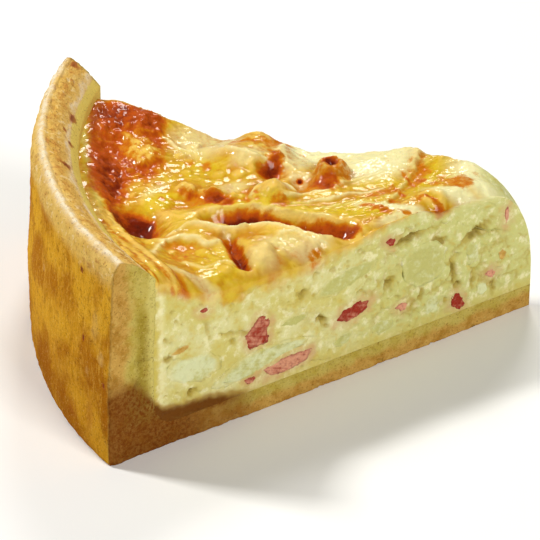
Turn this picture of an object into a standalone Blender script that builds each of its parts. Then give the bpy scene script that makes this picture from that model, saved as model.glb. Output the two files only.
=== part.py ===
"""A slice of deep potato and ham quiche: pastry, custard, melted cheese and the pieces in the cuts.

The slice stands on its flat base, crust towards -X and tip towards +X, with the near cut facing -Y.
Shapes are worked out in slice coordinates: r is the distance from the tip's corner, phi the angle
from the middle of the slice (negative towards the near cut), and z the height above the base.
"""

import math

import bmesh
import bpy
import numpy as np
from mathutils import Matrix, Vector, noise

MM = 0.001

# Driving sizes, in metres and radians
RADIUS = 120 * MM
HEIGHT = 50 * MM
HALF_ANGLE = math.radians(25.15)
WALL_INSIDE = 108.3 * MM
BASE = 5.8 * MM
BASE_CORNER = 1.4 * MM
INSIDE_FILLET = 6 * MM
OUTER_LEAN = 1.6 * MM
INNER_LEAN = 0.8 * MM
# How far in from the wall's faces the rim's crest lies, and how far above its shoulders
RIM_OUTER = (2.2 * MM, 4.5 * MM)
RIM_INNER = (7 * MM, 6 * MM)
TOP_LEVEL = 36.5 * MM
SEAM_INSIDE = 28.5 * MM
SEAM_SLACK = 0.4 * MM
SEAM_RAMP = 0.4
GAP = 0.3 * MM
SEAM_GAP = 0.45 * MM
CORNER_X = RADIUS / 2 + 0.4 * MM

# The worn tip is a quarter of an ellipse, seen from the side
TIP_BLUNT = 0.8 * MM
TIP_WEAR = 20 * MM
TIP_TOP = 38.5 * MM
SEAM_AT_TIP = 22 * MM

# Steps of each block: along the slice, across it and up it. The custard and the cheese have the
# same steps along, so that their faces at the joint between them run side by side.
PASTRY_STEPS = (32, 14, 2)
CUSTARD_STEPS = (40, 10, 7)
CHEESE_STEPS = (40, 25, 2)

# Where the custard meets the cheese on a cut: distance from the corner, height
SEAM = [(0, 21), (5, 22), (14, 25), (22, 29), (28, 34), (36, 36.3), (45, 36), (55, 34.3),
        (62, 32), (75, 32.6), (95, 32.8), (100, 35.6), (104, 39), (108, 41)]
# The top's height along the near cut and along the far cut
NEAR_CREST = [(0, 37), (20, 38), (30, 37.5), (45, 37.6), (58, 37), (80, 37), (94, 37.6),
              (99, 40), (104, 43.5), (108, 45)]
FAR_CREST = [(0, 37), (20, 38), (31, 38.6), (46, 34.8), (55, 33.8), (68, 36), (77, 34),
             (88, 37.4), (97, 41), (108, 42.5)]

# Rounded swellings (+) and hollows (-) of the top: along, across, half length, half width, height
DOMES = [
    ("hollow by the crust", 96, -9, 6, 6.5, -7),
    ("bump at the far crust", 92, 46, 6, 5, 2.2),
    ("brown shoulder", 88, 34, 7, 6, 1.5),
    ("brown dip", 98, 24, 5, 6, -1.6),
    ("brown bump", 90, 21, 5, 5, 1.2),
    ("yellow dip", 84, -1, 6, 4, -1.6),
    ("left bubble", 83, 5, 3, 3, 1.4),
    ("middle bubble", 77, 3, 3.2, 3, 1.5),
    ("right bubble", 73, 0, 2.6, 2.6, 1.1),
    ("wide lobe", 68, 19, 11, 10, 2.6),
    ("lobe's peak", 62, 27, 5, 4, 2.4),
    ("orange dip", 61, 12.5, 4, 3.6, -3),
    ("dome", 62.5, 3, 6.5, 6.5, 4.2),
    ("dip beside the dome", 55.5, 5, 3, 4, -2.4),
    ("low blister", 51, 4, 4, 4.5, 2.2),
    ("pale swelling", 39, 9, 9, 6, 1.2),
    ("near lobe", 83, -14, 8, 6, 1.2),
    ("middle lobe", 69, -20, 9, 8, 1.4),
    ("smooth dip", 89, -26, 7, 7, -2),
    ("left of the cleft", 84, -31, 5, 6, 0.8),
    ("right of the cleft", 72, -29, 5, 4.5, 1.4),
    ("orange dip by the cut", 52, -19, 5, 3.5, -1.6),
    ("spot near the tip", 20, -1, 3.4, 3.6, 0.8),
]
# Raised rings with a sunken middle: along, across, radius, height, depth of the middle
RINGS = [
    ("blister", 47.5, 12, 5, 2.6, 1),
    ("ring near the tip", 28, -8.5, 3.6, 0.9, 0.6),
]
# Ridges (+) and clefts (-): half width, height, then the line that they follow, along and across
FOLDS = [
    ("long cleft", 4.2, -5.6, [(78, -8), (70, -9), (64, -11.5), (58, -14.5), (50, -17)]),
    ("ridge behind the cleft", 4, 2.4, [(78, -2), (68, -2.4), (60, -5.5), (50, -10), (40, -11.5)]),
    ("ridge before the cleft", 4, 2, [(86, -10), (76, -14), (70, -16), (64, -19), (58, -23)]),
    ("short cleft", 3.8, -3.4, [(78.5, -21), (77.5, -26), (76.5, -30)]),
    ("thin ridge", 2.6, 1, [(94, -19), (88, -16), (82, -20)]),
    ("lobe's edge", 3, 1.4, [(74, 24), (66, 22), (59, 18), (57, 12)]),
    ("groove", 3, -0.8, [(24, 10), (30, 2), (37, -9)]),
    ("pale ridge", 3, 1, [(58, -1), (50, -1.5), (42, 1), (35, 6)]),
]

# Cheese that hangs out over the near cut: distance from the corner, half length, reach
OVERHANGS = [(16, 9, 1.6), (29, 3, 0.9), (84, 14, 0.5), (66, 7, 0.6)]
# Holes and cracks in the near cut: distance from the corner, height, half sizes, tilt, depth
NEAR_HOLES = [
    (37, 30.6, 5.5, 1.1, 0, 2.2), (29.5, 26.6, 1.8, 1.6, 0, 2.4), (19, 25.6, 6, 1.3, 24, 2.6),
    (44.5, 27, 1.2, 3.4, -30, 1.4), (63.5, 16.2, 0.9, 2, 25, 2), (98, 11.4, 1.2, 1.2, 0, 1.6),
    (26.5, 17, 1.4, 5, 12, 1.5), (19.5, 12.5, 1.4, 4.5, -10, 1.3), (88, 23, 3.5, 0.8, -15, 0.8),
]
FAR_HOLES = [
    (88, 27, 4.5, 1.1, 15, 1.8), (62, 29, 5, 1, -12, 1.6), (45, 20, 1.4, 4, 20, 1.6),
    (74, 12, 1.2, 2.2, -20, 1.6), (30, 27, 4, 1.2, -25, 2), (96, 14, 1.2, 1.4, 0, 1.5),
]

# Pieces in the cuts: distance from the corner, height, length, thickness, depth into the slice,
# tilt in degrees (its far end up), squareness from 0, an egg, to 1, a box
NEAR_POTATOES = [
    (97.8, 17.4, 16, 7, 7, -6, 0.55), (79.2, 13.2, 30, 3.8, 8, 10, 0.6),
    (70.5, 20.3, 9.5, 3.4, 6, 5, 0.5), (56.5, 25.6, 21, 4.8, 8, 16, 0.6),
    (33.6, 22.4, 13.5, 12.2, 7, 14, 0.55), (19.3, 20.6, 4.8, 6.6, 4.5, 10, 0.5),
    (31, 10.9, 5, 6.6, 6, 12, 0.55), (15.6, 9.9, 4.2, 4.4, 3.6, 0, 0.55),
    (45.5, 9.6, 8.5, 4, 6, 6, 0.55), (57, 10.6, 7.5, 4, 6, -6, 0.5),
]
NEAR_HAM = [
    (80.6, 21.5, 6.4, 8, 6, 18, 0.75), (54, 17.2, 11.5, 3.1, 5, 15, 0.25),
    (71.5, 9.3, 14, 2.7, 5, 7, 0.7),
    (43.6, 31.8, 3.6, 3.2, 3, 0, 0.7), (23.2, 9.2, 4, 5.4, 4.5, 28, 0.7),
]
NEAR_ONION = [(101.3, 23.6, 6, 1.8, 3, -4, 0.4)]
FAR_POTATOES = [
    (95, 21, 18, 5.4, 7, 10, 0.55), (76, 13.5, 24, 4.6, 8, -8, 0.6),
    (66, 23.4, 14, 6.6, 7, -14, 0.55), (40.5, 24.5, 15, 4.6, 7, 20, 0.6),
    (50, 13, 9, 7.4, 6, 0, 0.55), (27, 13.6, 8, 6.4, 5, -12, 0.5),
]
FAR_HAM = [
    (83.5, 20.6, 6.4, 5.2, 5, 35, 0.75), (60, 9.3, 11, 2.7, 5, -3, 0.7),
    (55, 29, 8.5, 2.7, 4.5, -8, 0.3), (33.5, 19.4, 4.2, 5.2, 4.5, 14, 0.7),
]
FAR_ONION = [(100, 12, 5.4, 2.4, 3.5, 6, 0.4)]

COLOURS = {
    "pastry": ((0.58, 0.31, 0.07), 0.8),
    "custard": ((0.72, 0.65, 0.27), 0.55),
    "cheese": ((0.72, 0.38, 0.07), 0.3),
    "potato": ((0.66, 0.65, 0.27), 0.45),
    "ham": ((0.46, 0.06, 0.04), 0.4),
    "onion": ((0.62, 0.36, 0.1), 0.4),
}


def clear_scene():
    for obj in list(bpy.data.objects):
        bpy.data.objects.remove(obj)


def material(name):
    """The finish of one kind of food."""
    found = bpy.data.materials.get(name)
    if found:
        return found
    colour, roughness = COLOURS[name]
    made = bpy.data.materials.new(name)
    made.use_nodes = True
    shader = made.node_tree.nodes["Principled BSDF"]
    shader.inputs["Base Color"].default_value = (*colour, 1)
    shader.inputs["Roughness"].default_value = roughness
    return made


def collection(name, hidden=False):
    made = bpy.data.collections.new(name)
    made.hide_render = hidden
    bpy.context.scene.collection.children.link(made)
    return made


def finished(bm, name, food, where):
    """Ends a shape: faces out, an object of its own, smooth with sharp edges kept."""
    bmesh.ops.recalc_face_normals(bm, faces=bm.faces)
    mesh = bpy.data.meshes.new(name)
    bm.to_mesh(mesh)
    bm.free()
    mesh.materials.append(material(food))
    mesh.shade_smooth()
    mesh.set_sharp_from_angle(angle=math.radians(50))
    obj = bpy.data.objects.new(name, mesh)
    where.objects.link(obj)
    return obj


def rough(x, y, z, size, seed):
    """Smooth random relief from -1 to 1, with lumps of about this size."""
    points = np.column_stack(np.broadcast_arrays(x, y, z)) / size + seed
    return np.array([noise.noise(point) for point in points])


def smooth_step(low, high, value):
    t = np.clip((value - low) / (high - low), 0, 1)
    return t * t * (3 - 2 * t)


def curve(table, r):
    """Reads a table of millimetres at distance r, eased between its rows."""
    stations, values = np.array(table, float).T * MM
    index = np.clip(np.searchsorted(stations, r, side="right") - 1, 0, len(stations) - 2)
    t = np.clip((r - stations[index]) / (stations[index + 1] - stations[index]), 0, 1)
    eased = 0.5 * t + 0.5 * t * t * (3 - 2 * t)
    return values[index] + (values[index + 1] - values[index]) * eased


def to_line(along, across, path):
    """How far each point lies from a line of several stretches."""
    points = np.array(path, float) * MM
    nearest = np.full(np.shape(along), np.inf)
    for start, end in zip(points[:-1], points[1:]):
        run = end - start
        t = np.clip(((along - start[0]) * run[0] + (across - start[1]) * run[1]) / (run @ run), 0, 1)
        reach = np.hypot(along - start[0] - t * run[0], across - start[1] - t * run[1])
        nearest = np.minimum(nearest, reach)
    return nearest


def crumple(along, across):
    """The swellings, blisters, ridges and clefts of the baked top."""
    height = np.zeros(np.shape(along))
    for _, a, b, half_length, half_width, rise in DOMES:
        reach = np.hypot((along - a * MM) / half_length, (across - b * MM) / half_width) / MM
        height += rise * MM * (1 - smooth_step(0, 1.35, reach))
    for _, a, b, radius, rise, sink in RINGS:
        reach = np.hypot(along - a * MM, across - b * MM) / (radius * MM)
        height += rise * MM * np.exp(-(((reach - 0.8) / 0.33) ** 2))
        height -= sink * MM * np.exp(-((reach / 0.4) ** 2))
    for _, half_width, rise, path in FOLDS:
        reach = to_line(along, across, path) / (half_width * MM)
        height += rise * MM * (1 - smooth_step(0, 1.25, reach))
    return height


def cut_distance(along, across, side):
    """Distance inwards from a cut: side is -1 for the near one and 1 for the far one."""
    return along * math.sin(HALF_ANGLE) - side * across * math.cos(HALF_ANGLE)


def top_height(r, phi):
    """The outer top of the slice, above the base."""
    along, across = r * np.cos(phi), r * np.sin(phi)
    share = 0.5 + phi / (2 * HALF_ANGLE)
    edge = curve(NEAR_CREST, r) * (1 - share) + curve(FAR_CREST, r) * share
    middle = TOP_LEVEL + 4 * MM * smooth_step(98 * MM, 107 * MM, r)
    inwards = smooth_step(0.1, 0.9, 1 - np.abs(2 * share - 1))
    height = edge + (middle - edge) * inwards + crumple(along, across)
    height += 0.5 * MM * rough(along, across, 0, 8 * MM, 3.1) * smooth_step(4 * MM, 16 * MM, r)
    for side in (-1, 1):
        near_cut = np.clip(cut_distance(along, across, side) / (3.5 * MM), 0, 1)
        height -= 2.4 * MM * (1 - near_cut) ** 2
    return height


def seam_height(r, phi, slack):
    """The joint between custard and cheese, which dips inside the slice, lower by slack there."""
    height = curve(SEAM, r)
    inwards = np.clip((1 - np.abs(phi / HALF_ANGLE)) / SEAM_RAMP, 0, 1)
    lowest = np.minimum(height, SEAM_INSIDE + 7 * MM * smooth_step(98 * MM, 108 * MM, r))
    return height + (lowest - slack - height) * inwards


def tip_reach(z):
    """How far the worn tip has drawn back from the corner at a height."""
    return TIP_BLUNT + TIP_WEAR * (1 - np.sqrt(1 - np.clip(z / TIP_TOP, 0, 0.99) ** 2))


def wall_inside(z, gap=0.0):
    """The radius of the pastry's inner face, with a fillet at its foot, less a gap all along it."""
    fillet = INSIDE_FILLET - gap
    rise = np.clip(BASE + INSIDE_FILLET - z, 0, fillet)
    lean = INNER_LEAN * smooth_step(20 * MM, 42 * MM, z)
    return WALL_INSIDE - lean - INSIDE_FILLET + np.sqrt(fillet**2 - rise**2)


def holes(r, z, table):
    """The depth of the holes and cracks in a cut."""
    depth = np.zeros(np.shape(r))
    for at_r, at_z, half_r, half_z, tilt, deep in table:
        turn = math.radians(tilt)
        over = (at_r * MM - r) * math.cos(turn) + (z - at_z * MM) * math.sin(turn)
        up = (z - at_z * MM) * math.cos(turn) - (at_r * MM - r) * math.sin(turn)
        reach = np.hypot(over / (half_r * MM), up / (half_z * MM))
        depth += deep * MM * (1 - smooth_step(0.3, 1.3, reach))
    return depth


def to_world(r, phi, z, swell):
    """World places. swell moves points straight out of their own cut, most at the cut itself."""
    share = phi / HALF_ANGLE
    room = np.clip(r / (16 * MM), 0.05, 1)
    out = swell * room * share**4
    x = CORNER_X - r * np.cos(phi) + out * math.sin(HALF_ANGLE)
    y = r * np.sin(phi) + out * math.cos(HALF_ANGLE) * np.sign(share)
    return np.column_stack([x, y, z])


def block(name, steps, place, food, where):
    """A closed block: a unit cube in even steps, whose points are moved to their real places."""
    bm = bmesh.new()
    bmesh.ops.create_cube(bm, size=1, matrix=Matrix.Translation((0.5, 0.5, 0.5)))
    for axis, count in enumerate(steps):
        across = Vector((axis == 0, axis == 1, axis == 2))
        for step in range(1, count):
            everything = bm.verts[:] + bm.edges[:] + bm.faces[:]
            bmesh.ops.bisect_plane(bm, geom=everything, plane_co=across * step / count,
                                   plane_no=across)
    unit = np.array([vert.co for vert in bm.verts])
    for vert, place_of in zip(bm.verts, place(*unit.T)):
        vert.co = place_of
    return finished(bm, name, food, where)


def pastry_edges(run):
    """The pastry's section: its outer and inner edge, from the tip (run 0) to the crest (run 1)."""
    base_end, corner_end, wall_end = 0.5, 0.62, 0.86
    along = np.clip(run / base_end, 0, 1)
    turn = np.clip((run - base_end) / (corner_end - base_end), 0, 1) * math.pi / 2
    up = np.clip((run - corner_end) / (wall_end - corner_end), 0, 1)
    over = np.clip((run - wall_end) / (1 - wall_end), 0, 1)

    flat = RADIUS - BASE_CORNER
    outer_r = TIP_BLUNT + (flat - TIP_BLUNT) * along + BASE_CORNER * np.sin(turn)
    outer_z = BASE_CORNER * (1 - np.cos(turn)) + (HEIGHT - RIM_OUTER[1] - BASE_CORNER) * up
    outer_r = outer_r - OUTER_LEAN * smooth_step(18 * MM, 46 * MM, outer_z)
    bend = over * math.radians(80)
    outer_r -= RIM_OUTER[0] * (1 - np.cos(bend))
    outer_z += RIM_OUTER[1] * np.sin(bend)

    flat = WALL_INSIDE - INSIDE_FILLET
    foot = BASE + INSIDE_FILLET
    inner_z = BASE + INSIDE_FILLET * (1 - np.cos(turn)) + (HEIGHT - RIM_INNER[1] - foot) * up
    inner_r = np.where(run <= base_end, TIP_BLUNT + (flat - TIP_BLUNT) * along, wall_inside(inner_z))
    inner_r = inner_r + RIM_INNER[0] * over
    inner_z = inner_z + RIM_INNER[1] * (1 - (1 - over) ** 1.5)
    return (outer_r, outer_z), (inner_r, inner_z)


def place_pastry(u, v, w):
    (outer_r, outer_z), (inner_r, inner_z) = pastry_edges(u)
    r = outer_r + (inner_r - outer_r) * w
    z = outer_z + (inner_z - outer_z) * w
    phi = (2 * v - 1) * HALF_ANGLE
    around = phi * RADIUS
    on_crest = smooth_step(40 * MM, 50 * MM, z)
    crown = 4 * w * (1 - w) * smooth_step(0.9, 1, u)
    z = z + crown * 0.5 * MM + on_crest * 0.7 * MM * rough(around, 0, 0, 13 * MM, 7.7)
    on_wall = smooth_step(2 * MM, 14 * MM, z) * (1 - w) * (u > 0.5)
    r = r + on_wall * 0.4 * MM * rough(around, z, 0, 11 * MM, 1.9)
    return to_world(r, phi, z, 0.25 * MM * rough(r, z, phi, 3 * MM, 5.3))


def cut_relief(r, z, phi):
    """The custard's cuts: gentle swelling, crumb and holes. Positive is outwards."""
    swell = 0.45 * MM * rough(r, z, np.sign(phi), 11 * MM, 2.2)
    swell += 0.3 * MM * rough(r, z, np.sign(phi), 3.4 * MM, 8.8)
    return swell - np.where(phi < 0, holes(r, z, NEAR_HOLES), holes(r, z, FAR_HOLES))


def place_custard(u, v, w):
    phi = (2 * v - 1) * HALF_ANGLE
    start = tip_reach(BASE + w * (SEAM_AT_TIP - BASE))
    bottom = BASE + GAP
    r = start + (WALL_INSIDE - start) * u
    z = bottom + w * (seam_height(r, phi, SEAM_SLACK) - SEAM_GAP / 2 - bottom)
    r = start + (wall_inside(z, GAP) - start) * u
    return to_world(r, phi, z, cut_relief(r, z, phi) * (1 - w**6))


def place_cheese(u, v, w):
    phi = (2 * v - 1) * HALF_ANGLE
    start = tip_reach(SEAM_AT_TIP + w * (TOP_LEVEL - SEAM_AT_TIP))
    r = start + (WALL_INSIDE - start) * u
    under = seam_height(r, phi, 0) + SEAM_GAP / 2
    over = np.maximum(top_height(r, phi), under + 1 * MM)
    z = under + w * (over - under)
    r = start + (wall_inside(z, GAP) - start) * u
    swell = 0.3 * MM * rough(r, z, np.sign(phi), 5 * MM, 4.4)
    for at_r, half, reach in OVERHANGS:
        lip = np.clip(1 - ((r - at_r * MM) / (half * MM)) ** 2, 0, 1)
        swell = swell + reach * MM * lip * (phi < 0)
    return to_world(r, phi, z, swell * np.minimum(2 * w, 1))


def cut_frame(side, at_r, at_z, tilt):
    """A frame on a cut: X along the cut towards the tip, Y into the slice, Z up, then tilted."""
    angle = side * HALF_ANGLE
    towards_tip = Vector((math.cos(angle), -math.sin(angle), 0))
    inwards = Vector((-math.sin(abs(angle)), -side * math.cos(angle), 0))
    origin = Vector((CORNER_X, 0, at_z * MM)) - towards_tip * at_r * MM
    frame = Matrix((towards_tip, inwards, Vector((0, 0, 1)))).transposed().to_4x4()
    return Matrix.Translation(origin) @ frame @ Matrix.Rotation(-math.radians(tilt), 4, "Y")


def morsel(size, squareness, seed, extra=0.0):
    """An uneven lump between an egg and a box, with extra added all round."""
    bm = bmesh.new()
    bmesh.ops.create_cube(bm, size=2)
    cuts = 3 if size[0] > 13 * MM else 2
    bmesh.ops.subdivide_edges(bm, edges=bm.edges[:], cuts=cuts, use_grid_fill=True)
    for vert in bm.verts:
        ball = vert.co.normalized()
        shape = ball.lerp(vert.co * 0.86, squareness)
        shape *= 1 + 0.07 * noise.noise(ball * 1.6 + Vector((seed, 0, 0)))
        vert.co = Vector(half * c / 2 + extra * b for half, c, b in zip(size, shape, ball))
    return bm


def bury(kind, side, table, where, cutters):
    """Cuts each piece off at the cut, and keeps a copy, a little larger, to hollow its bed."""
    side_name = "near" if side < 0 else "far"
    for number, row in enumerate(table, 1):
        at_r, at_z, length, thickness, depth, tilt, squareness = row
        name = f"{kind}_{side_name}_{number:02d}"
        frame = cut_frame(side, at_r, at_z, tilt)
        size = (length * MM, 2 * depth * MM, thickness * MM)
        seed = number * 3.7 + side * 11 + len(kind)

        piece = morsel(size, squareness, seed)
        proud = 0.25 * MM if kind == "ham" else -0.1 * MM
        everything = piece.verts[:] + piece.edges[:] + piece.faces[:]
        cut = bmesh.ops.bisect_plane(piece, geom=everything, plane_co=(0, -proud, 0),
                                     plane_no=(0, -1, 0), clear_outer=True)
        rim = [item for item in cut["geom_cut"] if isinstance(item, bmesh.types.BMEdge)]
        bmesh.ops.contextual_create(piece, geom=rim)
        bmesh.ops.transform(piece, matrix=frame, verts=piece.verts)
        finished(piece, name, kind, where)

        bed = morsel(size, squareness, seed, GAP)
        bmesh.ops.transform(bed, matrix=frame, verts=bed.verts)
        cutter = finished(bed, name + "_bed", kind, cutters)
        cutter.hide_render = True
        cutter.display_type = "WIRE"


def build():
    clear_scene()
    slice_parts = collection("quiche_slice")
    beds = collection("beds", hidden=True)
    block("pastry", PASTRY_STEPS, place_pastry, "pastry", slice_parts)
    custard = block("custard", CUSTARD_STEPS, place_custard, "custard", slice_parts)
    block("cheese", CHEESE_STEPS, place_cheese, "cheese", slice_parts)
    for kind, near, far in (("potato", NEAR_POTATOES, FAR_POTATOES), ("ham", NEAR_HAM, FAR_HAM),
                            ("onion", NEAR_ONION, FAR_ONION)):
        bury(kind, -1, near, slice_parts, beds)
        bury(kind, 1, far, slice_parts, beds)
    hollow = custard.modifiers.new("beds", "BOOLEAN")
    hollow.operation = "DIFFERENCE"
    hollow.operand_type = "COLLECTION"
    hollow.collection = beds


build()
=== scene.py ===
import math

import bpy
import numpy as np
from mathutils import Matrix, Vector, noise


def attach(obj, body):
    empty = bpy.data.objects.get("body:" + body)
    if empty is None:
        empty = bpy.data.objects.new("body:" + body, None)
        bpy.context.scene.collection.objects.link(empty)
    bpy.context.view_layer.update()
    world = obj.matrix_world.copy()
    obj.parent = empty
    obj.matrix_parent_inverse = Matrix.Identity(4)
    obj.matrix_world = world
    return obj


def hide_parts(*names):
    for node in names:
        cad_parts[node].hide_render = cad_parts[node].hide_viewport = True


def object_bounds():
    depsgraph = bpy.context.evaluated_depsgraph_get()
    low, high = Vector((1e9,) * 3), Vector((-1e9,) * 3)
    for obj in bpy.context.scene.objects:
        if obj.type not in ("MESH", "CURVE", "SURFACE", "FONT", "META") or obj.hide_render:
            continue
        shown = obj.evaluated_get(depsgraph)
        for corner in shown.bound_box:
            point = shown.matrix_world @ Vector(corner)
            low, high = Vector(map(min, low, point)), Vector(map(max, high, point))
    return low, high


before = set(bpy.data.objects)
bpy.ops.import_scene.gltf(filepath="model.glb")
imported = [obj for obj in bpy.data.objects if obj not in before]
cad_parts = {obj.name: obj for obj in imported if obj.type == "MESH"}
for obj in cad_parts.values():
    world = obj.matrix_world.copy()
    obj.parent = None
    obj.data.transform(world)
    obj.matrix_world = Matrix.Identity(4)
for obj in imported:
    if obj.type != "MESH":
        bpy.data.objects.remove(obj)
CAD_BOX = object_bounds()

# Lengths are in millimetres up to the last step, which puts each shape in the frame in metres.
# r is the distance from the tip's corner, phi the angle from the middle of the slice (negative
# towards the near cut), z the height. "Along" and "across" are r cos(phi) and r sin(phi).
MM = 0.001
RADIUS = 120
HEIGHT = 50
HALF_ANGLE = math.radians(25.15)
# Points this close to a cut, as an angle, lie on it
ON_CUT = 1e-6
# Where the tip's corner lies in the frame
CORNER_X = 60.4

# Pastry: the wall's inner radius, the base's height, rounded corners, and how far the wall leans in
WALL_INSIDE = 108.3
BASE = 5.8
BASE_CORNER = 0.9
INSIDE_FILLET = 6
OUTER_LEAN = 1.6
INNER_LEAN = 0.8
# How far in and up the rim bends from the wall, outside and inside, how much its crest swells, how
# far its relief may stand above the height, and how far round its outside turns
RIM_OUTER = (2.2, 4.5)
RIM_INNER = (7, 6)
CROWN = 1.6
CREST_SPARE = 0.6
RIM_BEND = math.radians(80)
# The heights at which the rim's crest begins and is full, and the radii of what follows it round:
# the two ridges, whose pale lines are painted highlights, the stained hollow between them and the
# groove in the wall's cut
CREST = (43, 47.5)
OUTER_RIDGE = 115.9
RIM_HOLLOW = 112.4
INNER_RIDGE = 109.6
GROOVE = 111.2

# Filling: the top's level and its rise at the crust, the tip's blunt edge, how far the tip has worn
# back, up to which height, and how late its profile turns over
TOP_LEVEL = 36.5
CRUST_RISE = 4
TIP_BLUNT = 0.8
TIP_WEAR = 25
TIP_TOP = 38.5
TIP_TURN = 3.6
# The custard's foot, the seam's height at the tip and inside the slice, and its rise at the crust
CUSTARD_FOOT = BASE + 0.05
SEAM_AT_TIP = 22
SEAM_INSIDE = 26
SEAM_RISE = 6
# The cheese's least thickness, anywhere and at the far cut, and how far layers reach into others
THINNEST_CHEESE = 0.8
FAR_CHEESE = 3.5
SEAM_OVERLAP = 0.2
WALL_OVERLAP = 0.1
# How far in from a cut the top begins to round off, and how far it falls at the cut
EDGE_ROUND = 3.5
EDGE_FALL = 2.4

# The photograph's camera
CAMERA_TARGET = (-5.3, -9.65, 21.8)
CAMERA_AZIMUTH = -10.38
CAMERA_ELEVATION = 30.8
CAMERA_ROLL = 0.31
CAMERA_DISTANCE = 691.5
CAMERA_LENS = 200

# Lights: azimuth and elevation in degrees, then distance, size and power in metres and watts. They
# look at the slice's middle, and the sky fills in a little.
LIGHTS = {
    "key": (-115, 46, 0.9, 0.12, 5.6),
    "back": (165, 45, 0.9, 0.2, 3),
    "front": (25, 33, 1, 0.35, 6.2),
}
LIGHT_COLOUR = (1, 0.98, 0.94)
LIGHT_TARGET = (0, 0, 0.025)
SKY_STRENGTH = 0.1
FLOOR_SIZE = 6

# Where along the pastry's section its base, the base's corner and the wall end
SECTION_ENDS = (0.5, 0.54, 0.9)
# Steps of each shape's mesh
PASTRY_STEPS = (300, 132, 20)
CUSTARD_STEPS = (340, 8, 122)
CHEESE_STEPS = (252, 178, 9)
MORSEL_STEPS = (30, 6, 22)
# Steeper bends than this are shaded as edges where custard and cheese meet
JOINT_ANGLE = math.radians(70)
# The even grid on which the top's fine relief is worked out: its step and its reach
FIELD_STEP = 0.3
FIELD_ALONG = (-1, 111)
FIELD_ACROSS = (-52, 52)

# Where the custard meets the cheese on a cut: distance from the corner, height
SEAM = [(0, 21), (5, 22), (14, 25), (22, 29), (28, 34), (36, 36.3), (45, 36), (55, 34.3),
        (62, 32), (75, 32.6), (95, 32.8), (100, 35.6), (104, 39), (108, 41)]
# The top's height along the near cut and along the far cut
NEAR_CREST = [(0, 37), (20, 38), (30, 37.5), (45, 37.6), (58, 37), (80, 37), (94, 37.6),
              (99, 40), (104, 43.5), (108, 45)]
FAR_CREST = [(0, 37), (20, 38), (29, 40.3), (38, 37.7), (46, 35.9), (55, 35.1), (62, 36.2), (68, 36.9),
             (77, 35), (88, 38), (97, 40.4), (108, 41.5)]

# Rounded swellings (+) and hollows (-) of the top: along, across, half length, half width, height
DOMES = [
    (95.5, -8, 6, 8, -5),  # hollow by the crust
    (92, 44, 6, 5, 1.6),  # bump at the far crust
    (88, 34, 7, 6, 1.5),  # brown shoulder
    (98, 24, 5, 6, -1.6),  # brown dip
    (90, 21, 5, 5, 1.2),  # brown bump
    (84, -1, 6, 4, -1.6),  # yellow dip
    (83, 5, 3, 3, 1.6),  # left bubble
    (77, 2, 3.2, 3, 1.7),  # middle bubble
    (73, -1, 2.6, 2.6, 1.1),  # right bubble
    (68, 19, 11, 10, 2.2),  # wide lobe
    (62, 27, 5, 4, 1.5),  # lobe's peak
    (62, 10.5, 3.6, 4.4, -2.8),  # orange dip
    (63.6, -1.2, 4.8, 4.8, 4.2),  # dome
    (56, 4, 3, 5, -1.8),  # dip beside the dome
    (49.4, 5, 4.6, 5, 1),  # blister's foot
    (39, 7, 9, 6, 0.3),  # pale swelling
    (83, -15, 8, 6, 0.9),  # near lobe
    (68, -23, 8, 6, 0.8),  # middle lobe
    (88, -27, 7, 7, -0.7),  # smooth dip
    (83, -32, 5, 5, 0.8),  # left of the cleft
    (71.5, -28, 4, 4.5, 1.8),  # right of the cleft
    (52, -19, 5, 3.5, -1.6),  # orange dip by the cut
    (19, -2, 3.4, 3.6, 0.8),  # spot near the tip
]
# Round blisters: along, across, radius, height, how steeply they rise away from the near cut, and the
# lip and depth of their hole
RINGS = [
    (48.5, 6.8, 4.1, 1.4, 0.42, 1.3, 1.4),  # blister's ring
    (48.8, 3.8, 4, 0.9, 0, 0, 0),  # blister's front
    (28, -9.5, 3.4, 0.2, 0, 0.5, 0.5),  # ring near the tip
]
# Ridges (+) and clefts (-): half width, height, then the line that they follow, along and across
FOLDS = [
    (3.9, -4.1, [(78.6, -9), (72, -9.7), (66.4, -11.4), (61.4, -14.2), (59, -16)]),  # long cleft
    (3.8, -2.2, [(59, -16), (55.6, -17.8), (51, -19)]),  # end of the cleft
    (3.4, 0.4, [(79, -4.4), (72, -4.4), (65, -6.6), (60, -9.4), (53, -12.5)]),  # ridge behind the cleft
    (3.2, 0.9, [(86, -12.5), (80.5, -15), (76, -16.2), (71, -15.4), (66.5, -17),
        (62, -20.5), (56, -24)]),  # ridge before the cleft
    (2.3, -2.8, [(77.2, -19.5), (76.2, -25), (76, -31)]),  # short cleft
    (2.6, 0.6, [(94, -20), (88, -17.5), (82, -20)]),  # thin ridge
    (3, 0.9, [(74, 22), (68, 16), (63, 14), (59, 15), (57, 20)]),  # lobe's edge
    (3, -0.8, [(24, 10), (30, 2), (37, -9)]),  # groove
    (3, 0.5, [(58, -3), (50, -3.5), (42, 0), (35, 4)]),  # pale ridge
]
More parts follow.
